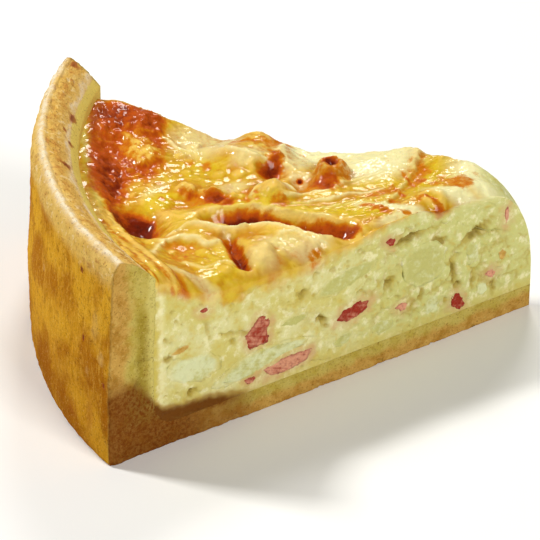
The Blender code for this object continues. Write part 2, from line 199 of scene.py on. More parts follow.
# Thin folds of the cheese's skin: half width, height, line
CREASES = [
    (0.63, 0.81, [(90.2, -17), (85.3, -13.6), (80.8, -15.4), (77.3, -16.6), (73.2, -15.8)]),
    (0.63, 0.81, [(95.5, -27), (92, -20), (87.6, -18.3), (84.3, -19.8), (82.7, -22), (79.9, -21),
        (77, -18)]),
    (0.56, 0.72, [(74, -16), (71, -15.4), (66.5, -17), (62, -20.5), (57, -24)]),
    (0.56, 0.9, [(72, 20), (68.3, 15.8), (64.8, 14), (62, 14), (59.5, 15.6), (57.5, 21)]),
    (0.56, 0.81, [(69, -5.5), (68.6, -1.5), (66.5, 2.4), (63.4, 3.6), (60.4, 2.6), (58.6, -1)]),
    (0.56, 0.54, [(79, -5), (72, -5), (65, -7.4), (60, -10.4), (53, -13.5)]),
    (0.49, 0.45, [(62, -4.5), (57, -2.4), (51, -1.8), (44.7, 2), (37, 4.6)]),
    (0.49, 0.45, [(60, -6.5), (52, -5.5), (45, -3.5), (38, -3)]),
    (0.49, 0.45, [(56, -9.5), (49, -8.5), (43, -7), (37, -6.5)]),
    (0.56, 0.72, [(27.4, 9.5), (29, 5), (31, 2.2), (33.5, -2), (36, -6), (41, -12)]),
    (0.56, 0.63, [(65.7, -21), (62.3, -21), (59.4, -24), (55.8, -25.2)]),
    (0.56, 0.54, [(86, 30), (82, 24), (78, 21), (76.5, 27)]),
    (0.49, 0.54, [(53, 4), (50, 6.2), (47, 5.6), (44.5, 7)]),
    (0.49, 0.45, [(89, -29), (85, -33), (80, -30), (77.4, -31)]),
    (0.63, 0.45, [(16, 7), (12, 3), (9, 0), (10, -3)]),
]
# Small round bubbles of the skin: along, across, radius, height
BUBBLES = [
    (84.2, 5.4, 1.4, 0.8), (82, 4, 1.1, 0.7), (83.4, 2.2, 0.8, 0.5), (73.6, -1.2, 1.2, 0.8),
    (76.4, 1, 1, 0.6), (97.4, 7, 1.1, 0.6), (95.6, 4.6, 0.9, 0.5), (98.6, 3.4, 0.9, 0.5),
    (74.4, -29.5, 1.5, 0.9), (69.9, -26.5, 1.6, 0.8), (54, 7.2, 0.9, 0.5), (88.4, 14.6, 1.2, 0.6),
    (91.6, 17.2, 1.3, 0.7), (94.5, 15.2, 1, 0.6), (92.8, 13, 0.9, 0.6), (66.4, -27.8, 0.9, 0.4),
    (77.8, 1.8, 1.1, 0.7), (75.2, -2.8, 1, 0.7), (79.6, 3.4, 0.8, 0.4), (85.6, 3, 0.8, 0.4),
    (66.6, 12.4, 1.4, 0.5), (69.8, 9.6, 1.6, 0.6), (74.6, 10.4, 1.6, 0.6), (81.6, 13, 1.3, 0.5),
    (62, -25.6, 1.4, 0.6), (84, -24.5, 1.6, 0.5), (90.6, -24, 1.3, 0.5), (80.4, -33.6, 1.6, 0.6),
    (82, 20.5, 1.5, 0.7), (78.4, 24.5, 1.7, 0.7), (80.2, 18.2, 1, 0.5), (88.6, -22, 0.6, 0.3),
]

# Cheese that hangs out over the near cut: distance from the corner, half length, reach
OVERHANGS = [(15, 9, 1.5), (29, 3, 0.7), (84, 14, 0.5), (66, 7, 0.6)]
# How far the browned skin bleeds down the near cut: distance from the corner, reach
BLEED = [(0, 0), (24, 0.1), (45, 0.3), (56, 0.5), (66, 1.6), (75, 2.6), (90, 3), (100, 1.4), (108, 1)]

# Browned places of the top, in the hollow by the crust and the long cleft partly painted shade: strength,
# softness of the edge, outline
SCORCHED = [
    (0.85, 1.4, [(101, 43), (93, 41), (87, 38), (82.5, 35), (84, 30), (86, 18), (88.5, 12.5), (91, 10),
        (93.5, 12), (96, 8), (97, 3.5), (99, -0.5), (102, -4), (105.4, 3), (104.6, 14), (102.6, 28)]),
    (0.5, 1.6, [(99, 38), (92, 40.5), (85, 35), (86, 29.5), (91, 30), (98, 31)]),
    (0.45, 1.6, [(102.6, 22), (98.5, 18), (96, 13), (98, 5), (101.6, 0), (103, 10)]),
    (-0.35, 1.4, [(93.7, 28.8), (88, 27.5), (86.7, 20.3), (89.6, 16.5), (94, 19.7), (96, 25)]),
    # the hollow by the crust and its core: browned, the darkest part partly painted shade
    (1.2, 1.2, [(102, -4.6), (97.6, -1.4), (94.6, -1.8), (91.8, -4.8), (91.6, -8.7), (94.6, -12),
        (99.5, -15)]),
    (0.7, 1.2, [(97.4, -3.4), (94, -3.2), (92.2, -5.4), (93.6, -8.4), (97.4, -8.6)]),
    (0.85, 1, [(85.4, 4.8), (82, 4.6), (80.4, 2), (83.4, 1)]),
    (0.85, 1, [(79.2, 2.8), (75.2, 1.6), (73.2, -3.4), (76, -5), (78.8, -0.4)]),
    (0.4, 1.2, [(82, 0), (78, -2), (72, -4.2), (70, -3), (74, 0), (79, 3)]),
    (0.9, 1, [(65.8, 9.6), (62.6, 13.6), (60, 17.6), (57.8, 15), (59.4, 11.4), (62.4, 8.4)]),
    (0.45, 1.2, [(70.4, -4.6), (69, 1.4), (67.2, 3.6), (67, -1), (68, -5.6)]),
    (0.3, 1.8, [(66, 22), (60, 26), (56, 20), (57, 12), (62, 9), (66, 13)]),
    (0.35, 1.4, [(64.6, 0), (61.6, 2), (59.6, -2), (61, -5), (64, -4)]),
    (0.5, 1, [(64.6, -4.6), (61.6, -4), (60.6, -6.4), (62, -7.8), (65.2, -7)]),
    # the long cleft and its end: browned, the dark core along its floor partly painted shade
    (0.9, 1.6, [(77.4, -6.2), (72.5, -5.6), (68.2, -6.8), (64.2, -9), (60.6, -11.8), (57.6, -14.6),
        (59, -19.6), (63.4, -16.8), (69.4, -13.4), (76, -11.6)]),
    (0.9, 1.3, [(76, -7.6), (72, -7.2), (67.6, -8.4), (63.6, -10.6), (60.4, -13.4), (59.2, -17),
        (61, -18.6), (64.6, -15.6), (69.4, -12.4), (75, -10.8)]),
    (1.1, 1.6, [(58.4, -12.6), (55, -13.2), (51, -15.4), (46.4, -17.6), (46, -20.4), (51.6, -23),
        (56.8, -22.4), (59.4, -17)]),
    (0.4, 0.9, [(57.4, -16.2), (55, -16), (53.8, -18.4), (55.4, -20.2), (57.8, -19)]),
    (0.5, 1.2, [(53.4, 3), (53, 7.4), (50.6, 10.6), (46.6, 10.2), (44.2, 7), (44.8, 3), (47.2, 0.2),
        (51.4, -1)]),
    (1.1, 0.6, [(50.4, 7.2), (49.5, 9), (47.5, 9), (46.6, 7.2), (47.4, 5.6), (49.6, 5.6)]),
    (0.5, 1, [(51.6, 3), (49.4, 3.6), (48, 2.8), (48.4, 0.2), (50.6, -0.8)]),
    (0.5, 1.2, [(54.8, 3.6), (52.4, 4.2), (49.6, 0.6), (48.6, -2), (51.4, -2.8), (54, -0.4)]),
    (0.95, 1, [(78.2, -19), (75.2, -18.6), (74.2, -24), (74.6, -31), (77, -32.6), (78.4, -27)]),
    (0.7, 0.8, [(77.4, -25), (75.6, -25), (75.4, -29.6), (77, -30.4)]),
    (0.25, 2, [(93, -21), (89, -19), (85, -22), (87, -29), (91.6, -28)]),
    (0.3, 1.2, [(31, 5.4), (28.6, 8.8), (26, 7.6), (25.2, 3.6), (27.8, 1.8), (30, 2.8)]),
    (0.3, 1.2, [(26, 0), (24, 1.3), (22, -0.9), (23, -4.4), (25.4, -4.4), (26.8, -2.6)]),
    (1, 0.9, [(31.6, -8.7), (28.6, -9.2), (26.4, -11.6), (25.4, -15.6), (27.6, -17), (28.4, -13),
        (29.6, -11.2), (31.6, -10.8)]),
    (0.6, 1, [(21.8, -0.6), (18.6, 0.4), (16.4, -2.6), (17.6, -6.4), (20.6, -7.4), (22.4, -5)]),
    (0.55, 1, [(44.4, -6.6), (40.9, -4.3), (37.9, -3), (35, -0.7), (36.4, -4.4), (41.2, -8)]),
]
# The same as small ovals: along, across, half length, half width, turn in degrees, strength
SPOTS = [
    (27, 9, 2.2, 1.4, 30, 0.4), (28.3, 0.5, 1.8, 1.6, 0, 0.6), (40.4, -12.6, 3, 1.6, 35, 0.75),
    (43.4, -9.8, 2.2, 1, 20, 0.6), (37, -8.6, 1.8, 1.2, 40, 0.5), (34, -15.4, 4, 1, 20, 0.4),
    (34.6, -4.6, 3.2, 0.9, 68, 0.6), (31.2, 1.5, 3.6, 0.8, 66, 0.55), (55.9, 6.4, 0.7, 0.7, 0, 2.2),
    (62.4, 24, 8, 3, -15, 0.5), (66, 24, 6, 2.5, -25, 0.4), (57.4, 22, 3, 2.4, 0, 0.45),
    (57.6, 19, 2, 3, 10, 0.45), (80.6, 17.4, 1.5, 1.5, 0, 0.4), (76.4, 14.5, 1.4, 2.6, 20, 0.45),
    (88, -26, 1, 1, 0, 0.6), (59, -27, 2.6, 1.4, -25, 0.4), (97, 44, 3, 2, 0, 0.6),
    (89, 2.4, 1.2, 1.2, 0, 0.5), (97, 9, 2, 1.5, 0, 0.7),
]
# Places that stay pale, and yellow ones: along, across, half length, half width, turn, strength
PALE = [
    (75, 26, 9, 9, -10, 0.55), (38, 9, 13, 8, -10, 1), (8, 0, 13.5, 12, 0, 1.6), (55, 17, 6, 8, 20, 0.7),
    (66, 16, 6, 3, -30, 0.5), (56, 7, 3, 3.4, 0, 0.6), (104, 12, 1.2, 22, 0, 0.3),
    (46, 18.5, 15, 7, 15, 1.2), (72, 4, 4, 3, -20, 0.5), (38, -16, 6, 1.6, -25, 0.8),
    (58, -24.6, 5, 2, -30, 0.5), (87, -38, 8, 2, 25, 0.5), (90, 6, 5, 1.5, -40, 0.3),
    (64, -25, 8, 4, 20, 0.5), (71, -29, 5, 4, 0, 0.35), (34, -14, 13, 2.2, 25, 1), (22, -8, 8, 3, 25, 1),
    (45, -9, 2, 1.6, 0, 0.7),
]
YELLOW = [
    (89, 1, 6, 3.4, -30, 1.2), (78, 14, 7, 8, 0, 0.8), (45, -9, 12, 4, -12, 1), (84, 33, 3, 4, 0, 0.6),
    (62, -6.4, 15, 2.6, 20, 1.3), (72, -4.6, 8, 2.2, 0, 1.1), (59, -9.6, 8, 2, 26, 1),
    (46, -12, 9, 3, 18, 1.1), (26, 0, 9, 9, 0, 1.1), (80, 38, 8, 3, -25, 0.6), (104, 12, 1.8, 24, 0, 1.2),
    (82, -30, 8, 8, 0, 0.7), (82, -12, 7, 3, -10, 0.6), (41, 1, 8, 3, 20, 1), (78, -7, 4, 2, 0, 0.8),
]

# Pieces in the cuts. Each outline gives distances from the corner and heights.
NEAR_OUTLINES = {
    "potato": [
        [(105.2, 20.4), (102.6, 21.8), (93.1, 20.3), (89.4, 17.4), (90, 14.6), (95.5, 13.2), (101, 14.1),
         (105.2, 17.2)],
        [(95.5, 9.5), (91, 13), (86, 15.6), (78, 16.6), (70, 16), (64, 14.8), (65, 13), (72, 12.6),
         (79.4, 10.6), (88, 8.8)],
        [(75.6, 20), (72, 21.8), (67, 21.6), (66.2, 19.6), (70, 18.6)],
        [(66, 23.4), (62.6, 27.4), (57, 28.9), (51, 29.4), (46, 28.8), (47.5, 26), (54.5, 23.6),
         (60.4, 22.6)],
        [(40.6, 26), (37, 28.6), (31, 28.4), (27, 25.4), (26.6, 19.4), (30, 16.4), (36, 16.6), (40, 20)],
        [(21.6, 22.4), (20, 24), (17.6, 22.8), (17, 18.4), (20.4, 17.4)],
        [(33, 13.4), (29, 13.6), (28.4, 8), (30.4, 7.4), (33.2, 9)],
        [(17.6, 11.9), (14.2, 11.4), (13.6, 8.4), (15.8, 7.6), (17.6, 9)],
        [(49.4, 10.6), (46, 11.8), (41.6, 11), (42, 8), (46.6, 7.6)],
        [(60.4, 10), (57, 12), (53.6, 11.8), (54.4, 9), (58, 8.4)],
    ],
    "ham": [
        [(79.8, 25), (77.2, 22.8), (77.6, 17.2), (82.8, 16.8), (84, 20.4), (82, 22.8)],
        [(59.6, 15.4), (57.4, 17.9), (52, 19.2), (48, 18.8), (50, 16.2), (55, 14.6)],
        [(79.2, 10.3), (74.1, 11.4), (67.2, 11.4), (64.8, 11), (66, 8.8), (70, 7.8), (75.3, 7.5),
         (78.6, 7.7)],
        [(45.4, 32.4), (43.4, 33.2), (41.5, 31.8), (43.2, 30)],
        [(24.4, 12), (22.2, 10.6), (20.8, 7), (22.6, 5.9), (25.4, 8.4)],
        [(84.4, 9.7), (81, 9.5), (80.6, 8.1), (83.4, 7.6)],
        [(42, 13.6), (39.4, 14.4), (37.6, 13), (39.6, 11.8)],
        [(15.6, 13.6), (13.4, 14.8), (11.2, 13.2), (13, 11.6)],
        [(10, 29), (9, 30.4), (8.4, 27), (9.4, 24.6)],
        [(96.4, 31.8), (94.4, 32.4), (93.6, 31.2), (95.4, 30.8)],
    ],
    "onion": [
        [(104.2, 23), (102.4, 24.6), (98.6, 24.4), (98.2, 23), (101.4, 22.6)],
        [(11.6, 18.6), (9.6, 19), (8.2, 17.4), (9.6, 15.4), (11.2, 16)],
    ],
}
# The far cut isn't seen in the photograph: distance, height, length, thickness and tilt of each oval
FAR_OVALS = {
    "potato": [(95, 21, 18, 5.4, 10), (76, 13.5, 24, 4.6, -8), (66, 23.4, 14, 6.6, -14),
               (40.5, 24.5, 15, 4.6, 20), (50, 13, 9, 7.4, 0), (27, 13.6, 8, 6.4, -12)],
    "ham": [(83.5, 20.6, 6.4, 5.2, 35), (60, 9.3, 11, 2.7, -3), (55, 29, 8.5, 2.7, -8),
            (33.5, 19.4, 4.2, 5.2, 14)],
    "onion": [(100, 12, 5.4, 2.4, 6)],
}
# How much darker (+) or paler (-) than usual each piece of the near cut is
SHADES = {
    "potato": [-0.1, -0.02, 0.16, 0.14, 0.12, 0.1, 0, -0.05, 0.1, 0.12],
    "ham": [0.04, 0.12, -0.1, 0.12, 0.14, 0.05, -0.12, -0.22, -0.16, 0.05],
    "onion": [0, 0],
}
# Their outlines' rounded corners, and the even steps in which an outline is read
CORNER_ROUND = 0.7
OUTLINE_STEPS = 160
# How far inside the cut their backs begin, and how much narrower those are than their faces
BACK_START = 0.55
BACK_WIDTH = 0.96
# The pieces' depth, and how ragged, proud of the cut and bumpy they are
MORSELS = {"potato": (6, 0.12, 0.1, 0.22), "ham": (5, 0.2, 0.2, 0.24), "onion": (3, 0.25, 0.1, 0.15)}

# Where the cut stays smooth under the near top, and where it crumbles besides the tip: distance from
# the corner, height, half sizes, tilt, strength
SMOOTH_CUT = [(10, 33, 17, 6.4, -8, 1)]
CRUMBLY_CUT = [(69, 23, 11, 6, 12, 1), (101, 11, 5, 2, 0, 1.2)]
# How far a hole's soft edge stands out from its half sizes
HOLE_EDGE = 0.4
# Holes and cracks in the cuts: distance from the corner, height, half sizes, tilt, depth
HOLES = {
    -1: [
        (38, 30.8, 5.5, 0.5, 4, 1.6), (29.5, 27.4, 1.5, 1.2, 0, 2), (17.5, 26.2, 6.5, 1.1, 20, 1.3),
        (43.4, 20.6, 0.9, 1.6, -30, 1), (62.4, 17.4, 0.6, 1.8, 25, 1.8), (98.4, 11.4, 0.9, 0.9, 0, 1.8),
        (24.8, 17.4, 0.9, 4.2, 12, 1.1), (18.8, 13, 0.8, 2.6, -10, 0.9), (88, 23, 3.5, 0.4, -15, 0.8),
        (94, 26.6, 0.5, 2.6, 20, 0.8), (104.6, 22.4, 1, 0.8, 0, 1.3), (84, 21.6, 1.6, 0.4, 0, 0.9),
        (87.4, 20.4, 0.8, 1.4, 30, 1), (34.4, 14.4, 0.6, 2, 10, 0.9), (12.6, 9.4, 0.5, 2.6, 10, 0.8),
        (68, 26.4, 1.2, 0.8, 0, 1), (64.6, 29.8, 0.9, 0.6, 0, 0.9), (60, 29.8, 0.8, 0.5, 0, 0.8),
        (23.4, 13.4, 0.7, 1, 0, 1), (36.6, 12.6, 1, 0.8, 0, 0.9), (105, 27, 0.9, 0.5, -30, 0.8),
    ],
    1: [
        (88, 27, 4.5, 0.7, 15, 1.6), (62, 28, 5, 0.6, -12, 1.4), (45, 20, 0.9, 3.6, 20, 1.4),
        (74, 12, 0.8, 1.8, -20, 1.4), (30, 27, 4, 0.9, -25, 2), (96, 14, 1, 1, 0, 1.5),
        (18, 17, 0.9, 3, 10, 1.2), (70, 19, 2, 0.5, 20, 0.9), (104, 25, 0.8, 0.6, 0, 1),
    ],
}

# The middle of the dark band at the custard's foot in the near cut: distance from the corner, height
FOOT_BAND_LINE = [(77, 3.8), (82, 4.6), (88.7, 5.8), (95.6, 7), (102.5, 7.6), (106, 8.2), (108, 10),
               (110, 13.5), (113, 18)]

# Marks on the rim: angle in degrees, radius, half sizes along the rim and across it, strength
RIM_MARKS = [
    (24.3, 113.5, 1.87, 1.36, 1), (20.8, 112, 1.02, 0.68, 0.7), (13.8, 109.4, 2.72, 1.105, 1.3),
    (9.8, 110.8, 1.02, 0.68, 0.9), (7.2, 109, 1.53, 0.595, 1.3), (0.9, 110.8, 1.275, 1.615, 1.2),
    (-6.2, 106.6, 2.89, 0.765, 1.2), (-17.4, 110, 0.935, 0.68, 1.1), (-22.4, 107.6, 1.19, 0.85, 1.1),
    (4.5, 114.6, 2.21, 0.595, 0.6), (-11, 112.5, 2.89, 1.02, 0.4), (-20, 114.5, 2.55, 1.19, 0.35),
    (17, 112.5, 2.04, 0.68, 0.5), (-14, 107.6, 2.55, 0.68, 0.5), (11, 107.6, 1.7, 1.7, 0.4),
]
# Torn places in the groove of the wall's near cut: radius, height, half sizes, strength
WALL_TEARS = [(111, 24.4, 2.6, 0.35, 1), (112.4, 19, 0.35, 1.1, 0.8), (110.6, 26, 0.6, 0.8, 0.8)]
# Specks and scratches of the outer wall: angle, height, half sizes along and up, strength
WALL_MARKS = [
    (-18.6, 43.4, 0.35, 1.1, 1.6), (-21.6, 39.2, 0.35, 0.9, 1.4), (-19.5, 26.6, 0.35, 1.5, 1.5),
    (-24, 19.8, 0.4, 1, 1.3), (-17, 6, 3.5, 4, 0.35), (-21, 9, 3, 7, 0.4), (-7, 31, 0.6, 1.4, -0.7),
    (-22, 33, 2.6, 5, -0.35), (-23.4, 26, 1.6, 2.4, -0.5), (-20.6, 20, 1.2, 1.6, -0.4),
    (-12, 20, 4, 6, 0.2), (12, 27, 0.4, 1.2, 1.3), (6, 14, 3, 4, 0.3), (20, 36, 2, 4, -0.35),
    (2, 39, 0.4, 0.9, 1.2), (17, 12, 0.4, 1.1, 1.3), (-2, 24, 0.35, 0.9, 1),
]


# ---------------------------------------------------------------- shapes in millimetres

def rough(x, y, z, size, seed, octaves=1):
    """Smooth random relief from about -1 to 1, with lumps of this size."""
    places = np.stack(np.broadcast_arrays(x, y, z), axis=-1)
    points = (places.reshape(-1, 3) / size + seed).tolist()
    if octaves == 1:
        values = [noise.noise(point) for point in points]
    else:
        values = [noise.fractal(point, 0.7, 2.1, octaves) for point in points]
    return np.array(values).reshape(places.shape[:-1])


def cells(x, y, z, size, seed):
    """Distance to the nearest and to the second nearest of random points this far apart."""
    places = np.stack(np.broadcast_arrays(x, y, z), axis=-1)
    points = (places.reshape(-1, 3) / size + seed).tolist()
    found = np.array([noise.voronoi(point)[0][:2] for point in points])
    return found[:, 0].reshape(places.shape[:-1]), found[:, 1].reshape(places.shape[:-1])


def ramp(low, high, value):
    """Rises smoothly from 0 at low to 1 at high, which may also lie below low."""
    t = np.clip((value - low) / (high - low), 0, 1)
    return t * t * (3 - 2 * t)


def bell(value, middle, half):
    """1 at the middle, falling off alike on both sides."""
    return np.exp(-(((value - middle) / half) ** 2))


def curve(table, r):
    """Reads a table at distance r, eased between its rows."""
    stations, values = np.array(table, float).T
    index = np.clip(np.searchsorted(stations, r, side="right") - 1, 0, len(stations) - 2)
    t = np.clip((r - stations[index]) / (stations[index + 1] - stations[index]), 0, 1)
    eased = 0.5 * t + 0.5 * t * t * (3 - 2 * t)
    return values[index] + (values[index + 1] - values[index]) * eased


def to_line(along, across, path):
    """How far each point lies from a line of several stretches."""
    points = np.array(path, float)
    nearest = np.full(np.shape(along), np.inf)
    for start, end in zip(points[:-1], points[1:]):
        run = end - start
        t = np.clip(((along - start[0]) * run[0] + (across - start[1]) * run[1]) / (run @ run), 0, 1)
        reach = np.hypot(along - start[0] - t * run[0], across - start[1] - t * run[1])
        nearest = np.minimum(nearest, reach)
    return nearest


def depth_inside(along, across, outline):
    """Distance to a closed outline, positive inside it."""
    crossed = np.zeros(np.shape(along), bool)
    for (a0, b0), (a1, b1) in zip(outline, outline[1:] + outline[:1]):
        if b0 != b1:
            between = (b0 > across) != (b1 > across)
            crossed ^= between & (along < a0 + (across - b0) * (a1 - a0) / (b1 - b0))
    reach = to_line(along, across, outline + outline[:1])
    return np.where(crossed, reach, -reach)


def oval(x, y, at_x, at_y, half_x, half_y, turn=0):
    """How far points lie from an oval's middle, with 1 at its edge."""
    x, y = x - at_x, y - at_y
    c, s = math.cos(math.radians(turn)), math.sin(math.radians(turn))
    return np.hypot((x * c + y * s) / half_x, (y * c - x * s) / half_y)


def patches(x, y, table, core=0.45):
    """Soft-edged ovals, from 0 to each one's strength, the strongest where they meet."""
    value = np.zeros(np.shape(x))
    for *place, strength in table:
        value = np.maximum(value, strength * ramp(1.25, core, oval(x, y, *place)))
    return value


def marks(x, y, table):
    """Soft marks that add up, each an upright oval with its strength, which may be negative."""
    return sum(strength * ramp(1.2, 0.3, oval(x, y, *place)) for *place, strength in table)


def crumple(along, across):
    """The swellings, blisters, ridges and clefts of the baked top."""
    height = np.zeros(np.shape(along))
    for *place, rise in DOMES:
        height += rise * ramp(1.35, 0, oval(along, across, *place))
    for a, b, radius, rise, tilt, lip, sink in RINGS:
        reach = oval(along, across, a, b, radius, radius)
        height += (rise + tilt * (across - b)) * ramp(1.1, 0.6, reach)
        height += lip * np.sqrt(np.clip(1 - ((reach - 0.62) / 0.4) ** 2, 0, 1))
        height -= sink * bell(reach, 0, 0.48)
    for half_width, rise, path in FOLDS:
        height += rise * ramp(1.25, 0, to_line(along, across, path) / half_width)
    return height


def cut_distance(along, across, side):
    """Distance inwards from a cut: side is -1 for the near one and 1 for the far one."""
    return along * math.sin(HALF_ANGLE) - side * across * math.cos(HALF_ANGLE)


def top_level(along, across):
    """The outer top of the slice, above the base, as if its edges at the cuts were sharp."""
    r = np.hypot(along, across)
    share = np.clip(0.5 + np.arctan2(across, along) / (2 * HALF_ANGLE), 0, 1)
    edge = curve(NEAR_CREST, r) * (1 - share) + curve(FAR_CREST, r) * share
    middle = TOP_LEVEL + CRUST_RISE * ramp(98, 107, r)
    inwards = ramp(0.1, 0.9, 1 - np.abs(2 * share - 1))
    height = edge + (middle - edge) * inwards + crumple(along, across)
    return height + 0.5 * rough(along, across, 0, 8, 3.1) * ramp(4, 16, r)


def edge_fall(along, across):
    """How far the top rounds off at the cuts."""
    fall = np.zeros(np.shape(along))
    for side in (-1, 1):
        inwards = np.clip(cut_distance(along, across, side) / EDGE_ROUND, 0, 1)
        fall += EDGE_FALL * (1 - inwards) ** 2
    return fall


def seam_height(r, phi):
    """The joint between custard and cheese, which dips inside the slice."""
    height = curve(SEAM, r)
    height = np.where(phi > 0, np.minimum(height, curve(FAR_CREST, r) - FAR_CHEESE), height)
    along, across = r * np.cos(phi), r * np.sin(phi)
    to_cut = np.minimum(cut_distance(along, across, -1), cut_distance(along, across, 1))
    lowest = np.minimum(height, SEAM_INSIDE + SEAM_RISE * ramp(98, 108, r))
    return height + (lowest - height) * ramp(0, 6, to_cut)


def tip_reach(z):
    """How far the worn tip has drawn back from the corner at a height."""
    return TIP_BLUNT + TIP_WEAR * (1 - np.sqrt(1 - np.clip(z / TIP_TOP, 0, 0.99) ** TIP_TURN))


def outer_lean(z):
    """How far the outer wall leans in at a height."""
    return OUTER_LEAN * ramp(18, 46, z)


def wall_inside(z, into=0):
    """The radius of the pastry's inner face, with a fillet at its foot, or of a face this far into it."""
    fillet = INSIDE_FILLET + into
    rise = np.clip(BASE + INSIDE_FILLET - z, 0, fillet)
    lean = INNER_LEAN * ramp(20, 42, z)
    return WALL_INSIDE - lean - INSIDE_FILLET + np.sqrt(fillet**2 - rise**2)


def far_outline(at_r, at_z, length, thickness, tilt):
    """The outline of a far piece: a squarish oval of twelve points."""
    turn = math.radians(tilt)
    points = []
    for step in range(12):
        angle = step * math.tau / 12
        over = length / 2 * math.copysign(abs(math.cos(angle)) ** 0.7, math.cos(angle))
        up = thickness / 2 * math.copysign(abs(math.sin(angle)) ** 0.7, math.sin(angle))
        points.append((at_r - over * math.cos(turn) + up * math.sin(turn),
                       at_z + over * math.sin(turn) + up * math.cos(turn)))
    return points


OUTLINES = {-1: NEAR_OUTLINES,
            1: {kind: [far_outline(*row) for row in rows] for kind, rows in FAR_OVALS.items()}}


def to_world(r, phi, z, swell):
    """World places. swell moves points straight out of their own cut, most at the cut itself."""
    share = phi / HALF_ANGLE
    room = np.clip(r / 16, 0.05, 1)
    out = swell * room * share**4
    x = CORNER_X - r * np.cos(phi) + out * math.sin(HALF_ANGLE)
    y = r * np.sin(phi) + out * math.cos(HALF_ANGLE) * np.sign(share)
    return np.column_stack([x, y, z]) * MM


# ---------------------------------------------------------------- the top's fine relief

def blur(field, size):
    """A field smoothed over this many millimetres."""
    reach = int(3 * size / FIELD_STEP)
    kernel = np.exp(-0.5 * (np.arange(-reach, reach + 1) * FIELD_STEP / size) ** 2)
    kernel /= kernel.sum()
    for axis in (0, 1):
        padded = np.pad(field, [(reach, reach) if side == axis else (0, 0) for side in (0, 1)], mode="edge")
        field = np.apply_along_axis(np.convolve, axis, padded, kernel, mode="valid")
    return field


def sample(field, along, across):
    """Reads a field between its grid points."""
    a = np.clip((along - FIELD_ALONG[0]) / FIELD_STEP, 0, field.shape[0] - 1.001)
    b = np.clip((across - FIELD_ACROSS[0]) / FIELD_STEP, 0, field.shape[1] - 1.001)
    i, j = a.astype(int), b.astype(int)
    s, t = a - i, b - j
    return ((field[i, j] * (1 - s) + field[i + 1, j] * s) * (1 - t)
            + (field[i, j + 1] * (1 - s) + field[i + 1, j + 1] * s) * t)


def top_fields():
    """The baked top as even grids: its height, how brown, pale and yellow it is, with painted highlights
    where it stands up and on its creases, and painted shade where it sinks.
    """
    along, across = np.meshgrid(np.arange(*FIELD_ALONG, FIELD_STEP),
                                np.arange(*FIELD_ACROSS, FIELD_STEP), indexing="ij")
    r = np.hypot(along, across)
    # The same places, astray a little, so that no edge runs straight
    drift_a = rough(along, across, 1, 3, 1.1, 2)
    drift_b = rough(along, across, 1, 3, 5.1, 2)
    a, b = along + 0.6 * drift_a, across + 0.5 * drift_b

    brown = np.zeros(along.shape)
    for strength, soft, outline in SCORCHED:
        brown += strength * ramp(-soft, soft, depth_inside(a, b, outline))
    brown = np.maximum(brown, patches(a, b, SPOTS))
    yellow = np.clip(patches(a, b, YELLOW), 0, 1)
    pale = patches(a, b, PALE)

    height = top_level(along + 0.4 * drift_a, across + 0.4 * drift_b)
    # Thin folds stand up, and their crests are painted pale: painted highlights
    for half_width, rise, path in CREASES:
        fold = np.exp(-((to_line(a, b, path) / half_width) ** 1.3))
        height += rise * fold
        pale = np.maximum(pale, 0.9 * fold**1.5 * (1 - 0.7 * yellow))
    for at_a, at_b, radius, rise in BUBBLES:
        reach = oval(along, across, at_a, at_b, radius, radius)
        height += rise * np.sqrt(np.clip(1 - reach**2, 0, 1))

    # Wrinkles wander over all of it, more in some places than in others
    flow = rough(along, across, 2, 7, 2.2, 2)
    wrinkles = np.abs(rough(0.45 * along + 3 * flow, across - 2 * flow, 3, 2.3, 5.5, 2))
    lively = 0.4 + 0.6 * ramp(-0.2, 0.3, rough(along, across, 4, 12, 6.1))
    height += 0.5 * lively * np.clip(1 - wrinkles / 0.22, 0, 1) ** 1.5
    height += 0.16 * rough(a, b, 12, 1.8, 7.3, 2)

    # The large browned place is blistered
    bubbly = np.clip(depth_inside(along, across, SCORCHED[0][2]) / 3, 0, 1)
    near, _ = cells(a, b, 0, 2.6, 4.4)
    small, _ = cells(a, b, 5, 1.3, 8.4)
    skin = np.abs(rough(a, 0.6 * b, 7, 1.1, 3.4, 2))
    height += bubbly * (0.8 * np.clip(0.55 - near, -0.2, 1) + 0.25 * np.clip(0.5 - small, -0.2, 1)
                        + 0.3 * np.clip(1 - skin / 0.3, 0, 1))

    # Strands run along the near part of the crust
    by_wall = ramp(97, 101, r) * ramp(4, -8, across)
    strands = rough(r + 0.8 * drift_a, across / 9, 8, 1.5, 2.4, 3)
    height += by_wall * (0.5 * strands + 0.5 * bell(r, 102.6, 0.9))
    brown += 0.5 * by_wall * ramp(0.15, -0.3, strands)
    height += 0.1 * rough(along, across, 6, 1.3, 6.4, 3) * (0.3 + np.clip(brown, 0, 1))
    height += (blur(height, 0.5) - height) * 0.25 * (1 - bubbly)

    # Painted light from the relief: lighter where it stands up (painted highlight), darker where it sinks
    # (painted shade)
    fine = height - blur(height, 1)
    broad = height - blur(height, 3)
    raised = np.clip(fine / 0.16, 0, 1) * 0.6 + np.clip(broad / 0.8, 0, 1) * 0.6
    sunk = np.clip(-fine / 0.16, 0, 1) * 0.5 + np.clip(-broad / 0.8, 0, 1.5) * 0.6
    at_a, at_b, radius, *_ = RINGS[0]
    ring = ramp(1.3, 0.8, oval(along, across, at_a, at_b, radius, radius))
    by_crust = ramp(99, 102, r) * ramp(-2, 6, across)
    return {"height": height - edge_fall(along, across), "brown": brown, "pale": pale, "yellow": yellow,
            "raised": raised * (1 - 0.85 * ring) * (1 - 0.85 * by_crust) * (1 - 0.6 * yellow),
            "sunk": sunk * (1 - 0.6 * ring)}


# ---------------------------------------------------------------- meshes

